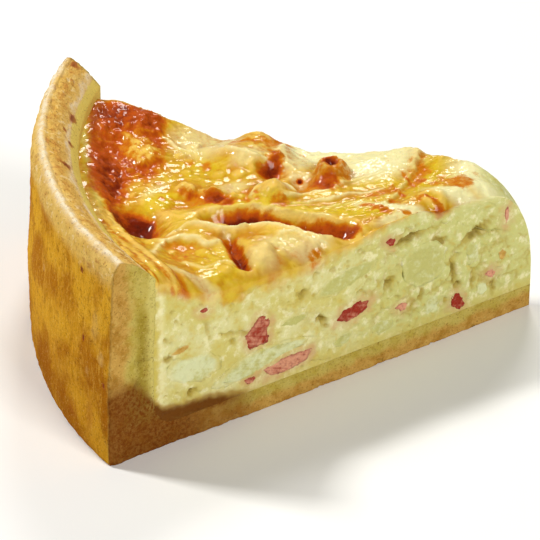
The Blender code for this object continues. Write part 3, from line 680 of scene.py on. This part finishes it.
def block(steps):
    """The skin of a unit cube in even steps: its points and its quads, facing out."""
    nu, nv, nw = (count + 1 for count in steps)
    index = np.arange(nu * nv * nw).reshape(nu, nv, nw)
    sides = [index[0], index[-1].T, index[:, 0].T, index[:, -1], index[:, :, 0], index[:, :, -1].T]
    quads = np.concatenate([
        np.stack([s[:-1, :-1], s[:-1, 1:], s[1:, 1:], s[1:, :-1]], axis=-1).reshape(-1, 4)
        for s in sides
    ])
    used, quads = np.unique(quads, return_inverse=True)
    unit = np.column_stack(np.unravel_index(used, (nu, nv, nw))) / np.array(steps)
    return unit, quads.reshape(-1, 4)


def add_mesh(name, points, quads, attributes, material, nodes):
    """A smooth closed mesh that rides on the body, with its attributes, in place of its nodes."""
    mesh = bpy.data.meshes.new(name)
    mesh.from_pydata(points, [], quads)
    mesh.shade_smooth()
    for key, values in attributes.items():
        mesh.attributes.new(key, "FLOAT", "POINT").data.foreach_set("value", values.astype(np.float32))
    mesh.materials.append(material)
    obj = bpy.data.objects.new(name, mesh)
    bpy.context.scene.collection.objects.link(obj)
    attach(obj, "root")
    if nodes:
        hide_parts(*nodes)
    return obj


def pastry_edges(run):
    """The pastry's section: its outer and inner edge, from the tip (run 0) to the crest (run 1)."""
    base_end, corner_end, wall_end = SECTION_ENDS
    along = np.clip(run / base_end, 0, 1)
    turn = np.clip((run - base_end) / (corner_end - base_end), 0, 1) * math.pi / 2
    up = np.clip((run - corner_end) / (wall_end - corner_end), 0, 1)
    over = np.clip((run - wall_end) / (1 - wall_end), 0, 1)

    flat = RADIUS - BASE_CORNER
    outer_r = TIP_BLUNT + (flat - TIP_BLUNT) * along + BASE_CORNER * np.sin(turn)
    outer_z = BASE_CORNER * (1 - np.cos(turn)) + (HEIGHT - RIM_OUTER[1] - BASE_CORNER) * up
    outer_r = outer_r - outer_lean(outer_z)
    bend = over * RIM_BEND
    outer_r -= RIM_OUTER[0] * (1 - np.cos(bend))
    outer_z += RIM_OUTER[1] * np.sin(bend)

    flat = WALL_INSIDE - INSIDE_FILLET
    foot = BASE + INSIDE_FILLET
    inner_z = BASE + INSIDE_FILLET * (1 - np.cos(turn)) + (HEIGHT - RIM_INNER[1] - foot) * up
    inner_r = np.where(run <= base_end, TIP_BLUNT + (flat - TIP_BLUNT) * along, wall_inside(inner_z))
    inner_r = inner_r + RIM_INNER[0] * over
    inner_z = inner_z + RIM_INNER[1] * (1 - (1 - over) ** 1.5)
    return (outer_r, outer_z), (inner_r, inner_z)


def on_circle(table):
    """The rows of a table of marks with their angles as lengths along the outer wall."""
    return [(math.radians(turn) * RADIUS, *rest) for turn, *rest in table]


def scorch(r, z):
    """The dark band at the foot of the custard, near the crust's corner."""
    middle = curve(FOOT_BAND_LINE, r) + 0.5 * rough(r, z, 0, 2.5, 7.9, 3)
    band = ramp(77, 93, r) * ramp(115, 110, r) * bell(z, middle, 2.1)
    above = z - middle + 1.5 * rough(r, z, 0, 5, 2.7, 3)
    below = ramp(1.5 + 3 * ramp(106, 114, r), -2, above)
    return np.maximum(band, (0.55 * ramp(78, 88, r) + 0.35 * ramp(92, 102, r)) * below)


def make_pastry():
    """The case: base, wall and rim in one closed piece, from its section swept round the slice."""
    unit, quads = block(PASTRY_STEPS)
    u, v, w = unit.T
    (outer_r, outer_z), (inner_r, inner_z) = pastry_edges(u)
    r = outer_r + (inner_r - outer_r) * w
    z = outer_z + (inner_z - outer_z) * w
    phi = (2 * v - 1) * HALF_ANGLE
    around = phi * RADIUS
    side = np.sign(phi) * (np.abs(phi) > HALF_ANGLE - ON_CUT)
    wall = u > SECTION_ENDS[0]
    outside = (w == 0) & wall

    # The rim's crown and waves, then the crust's lumps, grit, streaks and marks
    z = z + CROWN * w * (1 - w) * ramp(0.9, 1, u) + 0.6 * ramp(40, 49, z) * rough(around, 0, 0, 13, 7.7)
    r = r + ramp(2, 14, z) * (1 - w) * wall * 0.4 * rough(around, z, 0, 11, 1.9)
    lumpy = rough(r, around, z, 4, 2.7, 3)
    gritty = rough(r, around, z, 0.9, 4.3, 3)
    streak = rough(around, z / 9, 0, 0.9, 2.3, 2)
    r = r + outside * (0.16 * lumpy + 0.1 * gritty + 0.03 * streak)
    nudge = 0.6 * rough(r, around, z, 1.2, 6.2, 2)
    marked = marks(around + nudge, z + nudge, on_circle(WALL_MARKS)) * outside
    r = r - 0.25 * np.clip(marked, 0, 1)
    crest = ramp(*CREST, z)
    cracks = ramp(0.25, 0.02, np.abs(rough(around, r / 5, 0, 1.7, 3.9, 2)))
    z = z + crest * (0.3 * lumpy + 0.22 * gritty - 0.1 * cracks * ramp(0, 0.3, w)
                     + 0.35 * bell(r, OUTER_RIDGE + 0.6 * lumpy, 0.8))
    # The base's edges at the cuts are ragged
    ragged = np.maximum(rough(r, 0, phi * 10, 2.2, 8.4, 3), 0) + 0.5 * np.maximum(gritty, 0)
    z = z + ramp(2.5, 0, z) * np.abs(phi / HALF_ANGLE) ** 8 * 0.25 * ragged
    # The wall leans in a little more on the far side, and its foot stands out on the near side
    r = r - 0.8 * (1 - w) * ramp(14, 46, z) * ramp(0, 0.4, phi)
    r = r + 0.5 * (1 - w) * ramp(14, 2, z) * ramp(-0.1, -0.3, phi) * wall

    # Relief of the cuts, calm where it meets the filling: pits, the torn groove and the near base
    near, _ = cells(r, z, side, 1.4, 3.3)
    pits = ramp(0.36, 0.12, near) * (rough(r, z, side, 4, 4.1) > -0.05)
    swell = 0.25 * rough(r, z, side, 4, 5.3) + 0.16 * rough(r, z, side, 1.1, 6.6, 3) - 0.35 * pits
    groove = bell(r, GROOVE + 0.6 * lumpy, 1.3) * ramp(9, 15, z) * ramp(40, 34, z)
    to_filling = np.where(wall, r - wall_inside(z), BASE - z)
    swell = swell * ramp(0, 1.2, to_filling)
    bulge = ramp(10, 30, r) * ramp(104, 90, r) * ramp(BASE, 2, z)
    swell = swell + 0.35 * (side < 0) * bulge
    swell = swell - (0.4 + 0.3 * rough(0, z, side, 4, 2.5)) * groove
    swell = swell - 0.8 * marks(r, z, WALL_TEARS) * (side < 0)
    points = to_world(r, phi, np.minimum(z, HEIGHT + CREST_SPARE), swell)
    points[:, 2] = np.clip(points[:, 2], 0, CAD_BOX[1][2])
    for axis in (0, 1):
        points[:, axis] = np.clip(points[:, axis], CAD_BOX[0][axis], CAD_BOX[1][axis])

    on_cut = np.abs(side)
    waver = rough(r, z, side, 5, 3.6, 4)
    from_skin = RADIUS - outer_lean(z) - r + 1.6 * waver
    crumb_base = ramp(2, 4.4, z + 1.2 * waver) * ramp(98, 80, r)
    attributes = {
        "dough": on_cut * np.where(wall & (z > 8), ramp(3, 6.5, from_skin), crumb_base),
        "on_cut": on_cut,
        "lip": on_cut * wall * ramp(110.2, 108.8, r + 0.8 * waver) * ramp(10, 14, z),
        # The pits of the cut are darkened here too: painted shade
        "groove": on_cut * groove + on_cut * ramp(0.4, 1.0, pits) * 0.5,
        "scorch": on_cut * scorch(r, z),
        "crest": crest,
        # Darker towards the foot: partly deeper browning, partly painted shade
        "low": ramp(30, 0, z),
        "marked": marked + crest * marks(around + nudge, r + nudge, on_circle(RIM_MARKS)),
        # Near-white lines along the rim's two ridges: painted highlights
        "ridge": crest * (bell(r, OUTER_RIDGE + 0.6 * lumpy, 0.8)
                          + 0.7 * bell(r, INNER_RIDGE + 0.8 * lumpy, 0.6)),
        "stained": crest * bell(r, RIM_HOLLOW + 0.9 * lumpy, 1.7),
        # The wall's inner face above the filling, painted lighter: painted light over its shade
        "inner": ramp(0.75, 0.95, w) * wall * (z < 46) * (1 - on_cut),
    }
    add_mesh("pastry_crust", points, quads, attributes, pastry_material(), ["pastry"])


def lumps(r, z, side, size, seed):
    """Rounded lumps of this size, and the crevices between them."""
    near, second = cells(r, z, side, size, seed)
    return 0.45 - near**2, ramp(0.36, 0.0, second - near)


def cut_relief(side, r, z):
    """The custard's and cheese's cuts: how far they swell out, how much painted shade darkens their holes,
    crevices and pores, and how pink they are.
    """
    def uneven(size, seed, octaves=1):
        return rough(r, z, side, size, seed, octaves)

    warp_r = r + 0.7 * uneven(2.2, 6.1, 2)
    warp_z = z + 0.7 * uneven(2.2, 9.4, 2)
    crumbly = 0.12 + 0.88 * ramp(62, 40, r + 6 * uneven(9, 4.7))
    crumbly = crumbly * ramp(7, 10, z) * (1 - 0.9 * patches(r, z, SMOOTH_CUT, 0.7))
    crumbly = np.maximum(crumbly, 0.6 * patches(r, z, CRUMBLY_CUT))
    big, gap = lumps(warp_r, warp_z, side, 3.4, 8.8)
    gap = gap * ramp(-0.15, 0.2, uneven(5, 3.2))
    small, thin = lumps(warp_r, warp_z, side, 1.5, 5.8)
    curd, seams = lumps(warp_r, warp_z, side, 1.7, 2.9)
    curdled = ramp(-0.25, 0.25, uneven(8, 6.8))
    pore, _ = cells(r, z, side, 2.2, 1.3)
    pores = ramp(0.3, 0.14, pore) * (uneven(5, 7.1) > 0.1)
    swell = 0.4 * uneven(11, 2.2) + 0.22 * uneven(3.4, 8.8, 2) + 0.12 * uneven(0.9, 5.8, 3)
    swell += curdled * (0.22 * curd - 0.1 * seams) - 0.4 * pores
    swell += crumbly * (0.9 * big + 0.4 * small - 0.3 * gap - 0.06 * thin)
    holes = np.zeros(np.shape(r))
    for at_r, at_z, half_r, half_z, tilt, deep in HOLES[side]:
        reach = oval(-warp_r, warp_z, -at_r, at_z, half_r + HOLE_EDGE, half_z + HOLE_EDGE, tilt)
        holes += deep * ramp(1.3, 0, reach)
    # The pieces lie in beds with calm rims, and the ham tints what is round it
    bed, rim, pink = (np.zeros(np.shape(r)) for _ in range(3))
    for kind, outlines in OUTLINES[side].items():
        for outline in outlines:
            inside = depth_inside(warp_r * 0.6 + r * 0.4, warp_z * 0.6 + z * 0.4, outline)
            bed = np.maximum(bed, ramp(0.3, 1.4, inside))
            rim = np.maximum(rim, ramp(-1.8, 0, inside))
            if kind == "ham":
                pink = np.maximum(pink, ramp(-2.6, 0.2, inside + 0.8 * uneven(1.6, 4.6)))
    swell = (swell - holes) * (1 - 0.85 * rim) - 0.8 * bed
    # Holes, gaps between lumps, pores and seams are darkened: painted shade
    stain = np.clip(holes, 0, 1) + 0.5 * crumbly * gap + 0.5 * pores
    stain += 0.25 * np.maximum(crumbly * thin, curdled * seams)
    return swell, np.clip(stain, 0, 1.3), pink


def cut_attributes(phi, r, z):
    """The cuts' swelling, their painted shade in holes and crevices, and how pink they are, for the points
    that lie on a cut.
    """
    swell, stain, pink = (np.zeros(len(r)) for _ in range(3))
    for side in (-1, 1):
        face = np.abs(phi - side * HALF_ANGLE) < ON_CUT
        swell[face], stain[face], pink[face] = cut_relief(side, r[face], z[face])
    return swell, stain, pink


def filling_face(fields, phi, r, z, top):
    """The filling's swelling at the cuts and its attributes, for the custard and the cheese alike."""
    swell, stain, pink = cut_attributes(phi, r, z)
    below = top - z
    loose = ramp(0.5, 3.5, below)
    swell = swell * loose * ramp(0, 1.6, wall_inside(z) - r) * ramp(0, 1, z - BASE)
    for at_r, half, reach in OVERHANGS:
        lip = np.clip(1 - ((r - at_r) / half) ** 2, 0, 1)
        swell = swell + reach * lip * (phi < 0) * ramp(5, 1, below)
    bleed = curve(BLEED, r) * np.where(phi < 0, 1, 0.5) + 1.6 * rough(r, z, np.sign(phi), 4, 2.6, 3)
    along, across = r * np.cos(phi), r * np.sin(phi)
    attributes = {key: sample(fields[key], along, across)
                  for key in ("brown", "pale", "yellow", "raised", "sunk")}
    for key in ("raised", "sunk"):
        attributes[key] = attributes[key] * ramp(2.5, 0, below)
    attributes.update({"stain": stain * loose, "pink": pink * loose, "radius": r,
                       "fade": ramp(-1.6, 2.4, below - bleed), "scorch": scorch(r, z),
                       "foot": ramp(9.5, 6, z)})
    return swell, attributes


def make_filling(name, slot, steps, fields, material):
    """The custard below the seam or the cheese above it, both reaching a little into the crust."""
    unit, quads = block(steps)
    u, v, w = unit.T
    phi = (2 * v - 1) * HALF_ANGLE
    custard = slot == "custard"
    low, high = (CUSTARD_FOOT, SEAM_AT_TIP) if custard else (SEAM_AT_TIP, TOP_LEVEL)
    start = tip_reach(low + w * (high - low))
    r = start + (WALL_INSIDE - start) * u
    seam = seam_height(r, phi)
    top = np.maximum(sample(fields["height"], r * np.cos(phi), r * np.sin(phi)), seam + THINNEST_CHEESE)
    low, high = (CUSTARD_FOOT, seam + SEAM_OVERLAP) if custard else (seam, top)
    z = low + w * (high - low)
    r = start + (wall_inside(z, WALL_OVERLAP) - start) * u
    swell, attributes = filling_face(fields, phi, r, z, top)
    if not custard:
        attributes["fade"] *= w < 1
    piece = add_mesh(name, to_world(r, phi, z, swell), quads, attributes, material, [slot])
    piece.data.set_sharp_from_angle(angle=JOINT_ANGLE)


def radius_of(outline, centre, angles):
    """How far an outline with its corners rounded lies from its centre in each direction."""
    corners = np.array(outline + outline[:1]) - centre
    lengths = np.concatenate([[0], np.cumsum(np.hypot(*np.diff(corners, axis=0).T))])
    even = np.linspace(0, lengths[-1], OUTLINE_STEPS, endpoint=False)
    border = np.column_stack([np.interp(even, lengths, corners[:, axis]) for axis in (0, 1)])
    reach = max(1, round(CORNER_ROUND / (even[1] - even[0])))
    border = sum(np.roll(border, step, axis=0) for step in range(-reach, reach + 1)) / (2 * reach + 1)
    bearing = np.arctan2(border[:, 1], border[:, 0])
    order = np.argsort(bearing)
    return np.interp(angles, bearing[order], np.hypot(*border.T)[order], period=math.tau)


def make_morsel(kind, side, number, outline, material):
    """One buried piece: a lump with its outline at the cut, rounded off inside the slice."""
    centre = np.mean(outline, axis=0)
    depth, ragged, proud, bumps = MORSELS[kind]
    unit, quads = block(MORSEL_STEPS)
    cube = unit * 2 - 1
    x, y, z = (cube / np.linalg.norm(cube, axis=1)[:, None]).T
    front = y < 0
    angles = np.arctan2(z, x)
    rounding = np.clip(np.hypot(x, z), 0, 1)
    reach = radius_of(outline, centre, angles) * (1 + ragged * rough(x, y * 0.3, z, 0.45, number * 3.7, 3))
    reach = reach * np.where(front, rounding, rounding * BACK_WIDTH)
    at_r = centre[0] + reach * np.cos(angles)
    at_z = centre[1] + reach * np.sin(angles)
    face = proud + bumps * rough(at_r, at_z, side, 1.6, number, 3)
    face += 0.2 * rough(at_r, at_z, side, 5, number, 2)
    edge = ramp(0.55, 1.0, rounding)
    out = np.where(front, face - 0.2 * edge**2, -depth * y - BACK_START)
    world_x = CORNER_X - at_r * math.cos(HALF_ANGLE) + out * math.sin(HALF_ANGLE)
    world_y = (at_r * math.sin(HALF_ANGLE) + out * math.cos(HALF_ANGLE)) * side
    points = np.column_stack([world_x, world_y, at_z]) * MM
    if side > 0:
        quads = quads[:, ::-1]
    name = f"{kind}_{'near' if side < 0 else 'far'}_{number:02d}"
    nodes = [name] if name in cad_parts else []
    shade = SHADES[kind][number - 1] if side < 0 else 0
    attributes = {"edge": np.where(front, edge, 1), "stripe": at_z - 0.35 * at_r,
                  "shade": np.full(len(at_r), shade), "radius": at_r}
    add_mesh(name + "_piece", points, quads, attributes, material, nodes)


# ---------------------------------------------------------------- materials

def shader(name):
    made = bpy.data.materials.new(name)
    made.use_nodes = True
    return made, made.node_tree, made.node_tree.nodes["Principled BSDF"]


def feed(tree, made, inputs):
    """Sets a node's inputs, or links those that are given as sockets."""
    for key, value in inputs.items():
        if isinstance(value, bpy.types.NodeSocket):
            tree.links.new(value, made.inputs[key])
        else:
            made.inputs[key].default_value = value


def node(tree, kind, inputs, **settings):
    made = tree.nodes.new(kind)
    for key, value in settings.items():
        setattr(made, key, value)
    feed(tree, made, inputs)
    return made


def read(tree, names):
    """The mesh's own values, from their names with spaces between."""
    return [node(tree, "ShaderNodeAttribute", {}, attribute_name=name).outputs["Fac"]
            for name in names.split()]


def maths(tree, operation, *values):
    return node(tree, "ShaderNodeMath", dict(enumerate(values)), operation=operation).outputs[0]


def colour(code):
    """A colour written as sRGB hex, in the linear values that shaders take."""
    channels = [int(code[i:i + 2], 16) / 255 for i in (0, 2, 4)]
    linear = [c / 12.92 if c <= 0.04045 else ((c + 0.055) / 1.055) ** 2.4 for c in channels]
    return (*linear, 1)


def mix(tree, factor, a, b):
    """Goes from one colour to another. A colour is a hex code or a socket."""
    a, b = (colour(value) if isinstance(value, str) else value for value in (a, b))
    return node(tree, "ShaderNodeMix", {"Factor": factor, 6: a, 7: b}, data_type="RGBA").outputs[2]


def spread(tree, value, low, high, at_low=0.0, at_high=1.0):
    """The nodes' own ramp, from at_low where the value is low to at_high where it is high."""
    inputs = {"Value": value, "From Min": low, "From Max": high, "To Min": at_low, "To Max": at_high}
    return node(tree, "ShaderNodeMapRange", inputs, interpolation_type="SMOOTHSTEP").outputs[0]


def layers(tree, base, rows):
    """Lays colours over a base colour, each as far as the product of its factors says.

    A row is a colour and its factors: numbers, sockets, or a socket with what spread() takes.
    """
    for over, *factors in rows:
        factors = [spread(tree, *factor) if isinstance(factor, tuple) else factor for factor in factors]
        share = factors[0]
        for factor in factors[1:]:
            share = maths(tree, "MULTIPLY", share, factor)
        base = mix(tree, share, base, over)
    return base


def grain(tree, size, detail=3.0, roughness=0.55, stretch=(1, 1, 1)):
    """A noise with lumps of this size in mm, from the piece's own coordinates."""
    place = node(tree, "ShaderNodeTexCoord", {}).outputs["Object"]
    scaled = node(tree, "ShaderNodeMapping", {"Vector": place, "Scale": stretch}).outputs[0]
    inputs = {"Vector": scaled, "Scale": 1 / (size * MM), "Detail": detail, "Roughness": roughness}
    return node(tree, "ShaderNodeTexNoise", inputs).outputs["Fac"]


def bump(tree, *reliefs):
    """The normal of reliefs that lie on each other: height, distance in mm and strength of each."""
    under = {}
    for height, distance, strength in reliefs:
        inputs = {"Height": height, "Distance": distance * MM, "Strength": strength}
        under = {"Normal": node(tree, "ShaderNodeBump", inputs | under).outputs[0]}
    return under["Normal"]


def pastry_material():
    made, tree, bsdf = shader("baked_pastry")
    dough, on_cut, groove, lip, dark_band, crest, low, marked, inner, ridge, stained = read(
        tree, "dough on_cut groove lip scorch crest low marked inner ridge stained")
    broad = grain(tree, 14, 3)
    middle = grain(tree, 3, 4, 0.6)
    patch = grain(tree, 2, 5, 0.7)
    fine = grain(tree, 0.8, 4, 0.7)
    streak = grain(tree, 0.9, 4, 0.7, (1, 1, 0.2))
    speck = grain(tree, 0.5, 3, 0.6)
    skin = layers(tree, "E2A828", [
        ("BA7610", (broad, 0.4, 0.62)),
        ("E8B644", (streak, 0.5, 0.66, 0, 0.6)),
        ("AE6A10", (streak, 0.46, 0.32, 0, 0.6)),
        ("9C5A0C", (patch, 0.5, 0.72, 0, 0.7)),
        # Darker towards the wall's foot: partly deeper browning, partly painted shade
        ("A05C0A", low, (broad, 0.3, 0.7, 0.25, 0.8)),
        ("F0CA70", crest, (middle, 0.72, 0.3, 0.5, 1.0)),
        ("D0924A", crest, (patch, 0.54, 0.66, 0, 0.75)),
        # Whitish patches on the crest: painted highlights
        ("F8E2B4", crest, (patch, 0.44, 0.34, 0, 0.7)),
        ("CC8C3E", stained, (patch, 0.4, 0.62, 0.1, 0.75)),
        # Near-white lines along the rim's ridges: painted highlights
        ("FFF0D0", ridge, (patch, 0.34, 0.56, 0.2, 1.0)),
        # The inner face lightened: painted light
        ("EED66C", inner, 0.85),
    ])
    crumb = mix(tree, spread(tree, middle, 0.35, 0.7), "CAB760", "BDA646")
    section = layers(tree, "CCA050", [
        ("B58434", (middle, 0.4, 0.65)),
        (crumb, dough),
        ("DCCE78", lip, 0.8),
        # Olive in the groove, and painted shade in the cut's pits
        ("9A8424", groove, 0.75),
        ("8A6424", (fine, 0.54, 0.72, 0, 0.55)),
        ("D6C070", (fine, 0.45, 0.3, 0, 0.5)),
        # The dark band at the custard's foot near the crust's corner
        ("783F10", dark_band, (fine, 0.3, 0.7, 1.15, 0.8)),
    ])
    base = layers(tree, skin, [
        (section, on_cut),
        ("76440F", (speck, 0.58, 0.7, 0, 0.6)),
        ("EAC474", (speck, 0.42, 0.3, 0, 0.35), (dark_band, 0, 0.5, 1, 0.2)),
        ("E2BC70", (marked, 0, -0.6, 0, 0.5)),
        ("A8562A", (marked, 0.1, 0.9, 0, 0.85)),
        ("5C2424", (marked, 0.8, 1.4, 0, 0.9)),
    ])
    feed(tree, bsdf, {
        "Base Color": base, "Roughness": 0.8, "Specular IOR Level": 0.02,
        "Normal": bump(tree, (streak, 0.3, 0.6), (fine, 0.4, 1.0), (speck, 0.25, 1.0)),
    })
    return made


def custard_colour(tree):
    """The cut custard's colour, the same in the cheese, so that no joint shows between them."""
    stain, pink, radius, dark_band, foot = read(tree, "stain pink radius scorch foot")
    middle = grain(tree, 2.4, 4, 0.6)
    by_wall = maths(tree, "MULTIPLY_ADD", middle, 4.5, radius)
    return layers(tree, "DCD698", [
        ("D2C674", (grain(tree, 7, 3), 0.35, 0.65)),
        ("C9C97E", (radius, 70, 34, 0, 0.8)),
        ("CCB048", (middle, 0.52, 0.75, 0, 0.6)),
        ("F0EABA", (middle, 0.5, 0.32, 0, 0.75)),
        ("F0E8B4", (radius, 104.6, 106.4, 0, 0.5)),
        ("CDBA5E", (by_wall, 108.6, 110.4)),
        ("CDB658", foot, 0.5),
        ("B89A44", (grain(tree, 0.8, 4, 0.65), 0.58, 0.8, 0, 0.4)),
        ("CF9A78", pink, (middle, 0.3, 0.7, 0.15, 0.6)),
        # Painted shade in the cut's holes, pores and crevices
        ("B0983E", (stain, 0.1, 1.0, 0, 0.75)),
        ("745C1C", (stain, 0.9, 1.3, 0, 0.5)),
        # The dark band at the custard's foot near the crust's corner, with an olive edge
        ("B08C3C", (dark_band, 0, 0.4, 0, 0.8)),
        ("6C3C0C", (dark_band, 0.1, 0.9, 0, 0.97)),
    ])


def filling_material(name):
    """Melted cheese that turns into cut custard where its fade says so."""
    made, tree, bsdf = shader(name)
    brown, pale, yellow, raised, sunk, fade = read(tree, "brown pale yellow raised sunk fade")
    mottle = grain(tree, 1.8, 4, 0.6)
    fine = grain(tree, 0.7, 4, 0.65)
    # How browned it is, with a mottled edge; it is also made darker in the dips and lighter on the folds,
    # which is painted shade and painted highlight
    browned = maths(tree, "SUBTRACT", brown, 0.7)
    for part, share in ((mottle, 0.9), (fine, 0.5), (sunk, 0.2), (raised, -0.35)):
        browned = maths(tree, "MULTIPLY_ADD", part, share, browned)
    base = layers(tree, "C8880E", [
        ("D8B42A", (grain(tree, 6, 3), 0.36, 0.64)),
        ("D8BC12", yellow, 0.8),
        # Painted shade in the dips and painted highlights on the folds
        ("B87608", sunk, 0.6),
        ("EEC660", raised, 0.75),
        # Pale places of the top, and painted highlights along its creases
        ("F0EAB0", pale, 0.9),
        ("CC7C06", (browned, 0.05, 0.55)),
        ("B44C06", (browned, 0.4, 1.0)),
        ("741F02", (browned, 1.0, 1.7)),
        ("380C02", (browned, 1.9, 2.6)),
        (custard_colour(tree), fade),
    ])
    oil = maths(tree, "MULTIPLY", spread(tree, fade, 0, 0.9, 0.38, 0),
                spread(tree, brown, 0.2, 1.2, 1, 0.8))
    feed(tree, bsdf, {
        "Base Color": base, "Roughness": 0.45, "Specular IOR Level": 0.05,
        "Coat Weight": oil, "Coat Roughness": 0.08,
        "Subsurface Weight": 0.1, "Subsurface Radius": (1.0, 0.6, 0.2), "Subsurface Scale": MM,
        "Normal": bump(tree, (grain(tree, 2.4, 1.0), 0.5, 1.0), (grain(tree, 0.9, 1.0), 0.16, 1.0),
                       (fine, 0.1, 0.5)),
    })
    return made


def morsel_material(name, light, dark, rim, roughness, contrast):
    """A piece in the cut: two mottled colours along its grain, and one at its rim or the custard's."""
    made, tree, bsdf = shader(name)
    edge, stripe, shade = read(tree, "edge stripe shade")
    broad = grain(tree, 2.2, 4, 0.6)
    fine = grain(tree, 0.7, 4, 0.6)
    stripes = node(tree, "ShaderNodeTexNoise",
                   {"W": maths(tree, "MULTIPLY", stripe, 1.1), "Scale": 1.0, "Detail": 3.0},
                   noise_dimensions="1D").outputs["Fac"]
    mottled = maths(tree, "MULTIPLY_ADD", broad, 1 - contrast, shade)
    mottled = maths(tree, "MULTIPLY_ADD", stripes, contrast, mottled)
    rows = [(dark, (mottled, 0.36, 0.66)), (light, (fine, 0.42, 0.28, 0, 0.3))]
    if rim is None:
        rows.append((custard_colour(tree), (edge, 0.1, 0.9)))
    else:
        rows += [(rim, (fine, 0.52, 0.72, 0, 0.5)), (rim, (edge, 0.4, 1.0, 0, 0.35))]
    feed(tree, bsdf, {
        "Base Color": layers(tree, light, rows), "Roughness": roughness, "Specular IOR Level": 0.18,
        "Subsurface Weight": 0.15, "Subsurface Radius": (1.0, 0.7, 0.4), "Subsurface Scale": MM,
        "Normal": bump(tree, (broad, 0.5, 0.8), (fine, 0.2, 0.8)),
    })
    return made


# ---------------------------------------------------------------- stage, light and camera

def make_floor():
    bpy.ops.mesh.primitive_plane_add(size=FLOOR_SIZE)
    floor = bpy.context.object
    floor.name = "floor"
    made, tree, bsdf = shader("studio_floor")
    feed(tree, bsdf, {"Base Color": (0.93, 0.93, 0.92, 1), "Roughness": 0.9})
    floor.data.materials.append(made)


def towards(azimuth, elevation):
    """The direction to something seen at this azimuth and elevation in degrees."""
    turn, rise = math.radians(azimuth), math.radians(elevation)
    return Vector((math.sin(turn) * math.cos(rise), -math.cos(turn) * math.cos(rise), math.sin(rise)))


def add_light(name, azimuth, elevation, distance, size, power):
    """A square soft light that looks at the slice's middle."""
    light = bpy.data.lights.new(name, "AREA")
    light.size = size
    light.energy = power
    light.color = LIGHT_COLOUR
    lamp = bpy.data.objects.new(name, light)
    bpy.context.scene.collection.objects.link(lamp)
    back = towards(azimuth, elevation)
    lamp.location = Vector(LIGHT_TARGET) + back * distance
    lamp.rotation_euler = back.to_track_quat("Z", "Y").to_euler()


def make_lights():
    world = bpy.data.worlds.new("studio")
    bpy.context.scene.world = world
    world.use_nodes = True
    sky = world.node_tree.nodes["Background"]
    feed(world.node_tree, sky, {"Color": (1, 1, 1, 1), "Strength": SKY_STRENGTH})
    for name, placing in LIGHTS.items():
        add_light(name, *placing)


def make_camera():
    camera = bpy.data.cameras.new("camera")
    camera.lens = CAMERA_LENS
    camera.sensor_width = 36
    camera.clip_start = 0.01
    view = bpy.data.objects.new("camera", camera)
    bpy.context.scene.collection.objects.link(view)
    back = towards(CAMERA_AZIMUTH, CAMERA_ELEVATION)
    view.location = (Vector(CAMERA_TARGET) + back * CAMERA_DISTANCE) * MM
    aim = back.to_track_quat("Z", "Y").to_matrix()
    roll = Matrix.Rotation(math.radians(CAMERA_ROLL), 3, "Z")
    view.rotation_euler = (aim @ roll).to_euler()
    bpy.context.scene.camera = view


def build():
    bpy.context.scene.view_settings.view_transform = "Standard"
    make_floor()
    make_lights()
    make_camera()
    make_pastry()
    fields = top_fields()
    make_filling("custard_filling", "custard", CUSTARD_STEPS, fields, filling_material("set_custard"))
    make_filling("cheese_top", "cheese", CHEESE_STEPS, fields, filling_material("melted_cheese"))
    finishes = {
        "potato": morsel_material("boiled_potato", "DCDEAC", "C2BE70", None, 0.3, 0.15),
        "ham": morsel_material("cooked_ham", "DC9C7C", "9C2A14", "86200F", 0.3, 0.3),
        "onion": morsel_material("cooked_onion", "DAB462", "C09440", None, 0.35, 0.3),
    }
    for side, kinds in OUTLINES.items():
        for kind, outlines in kinds.items():
            for number, outline in enumerate(outlines, 1):
                make_morsel(kind, side, number, outline, finishes[kind])


build()
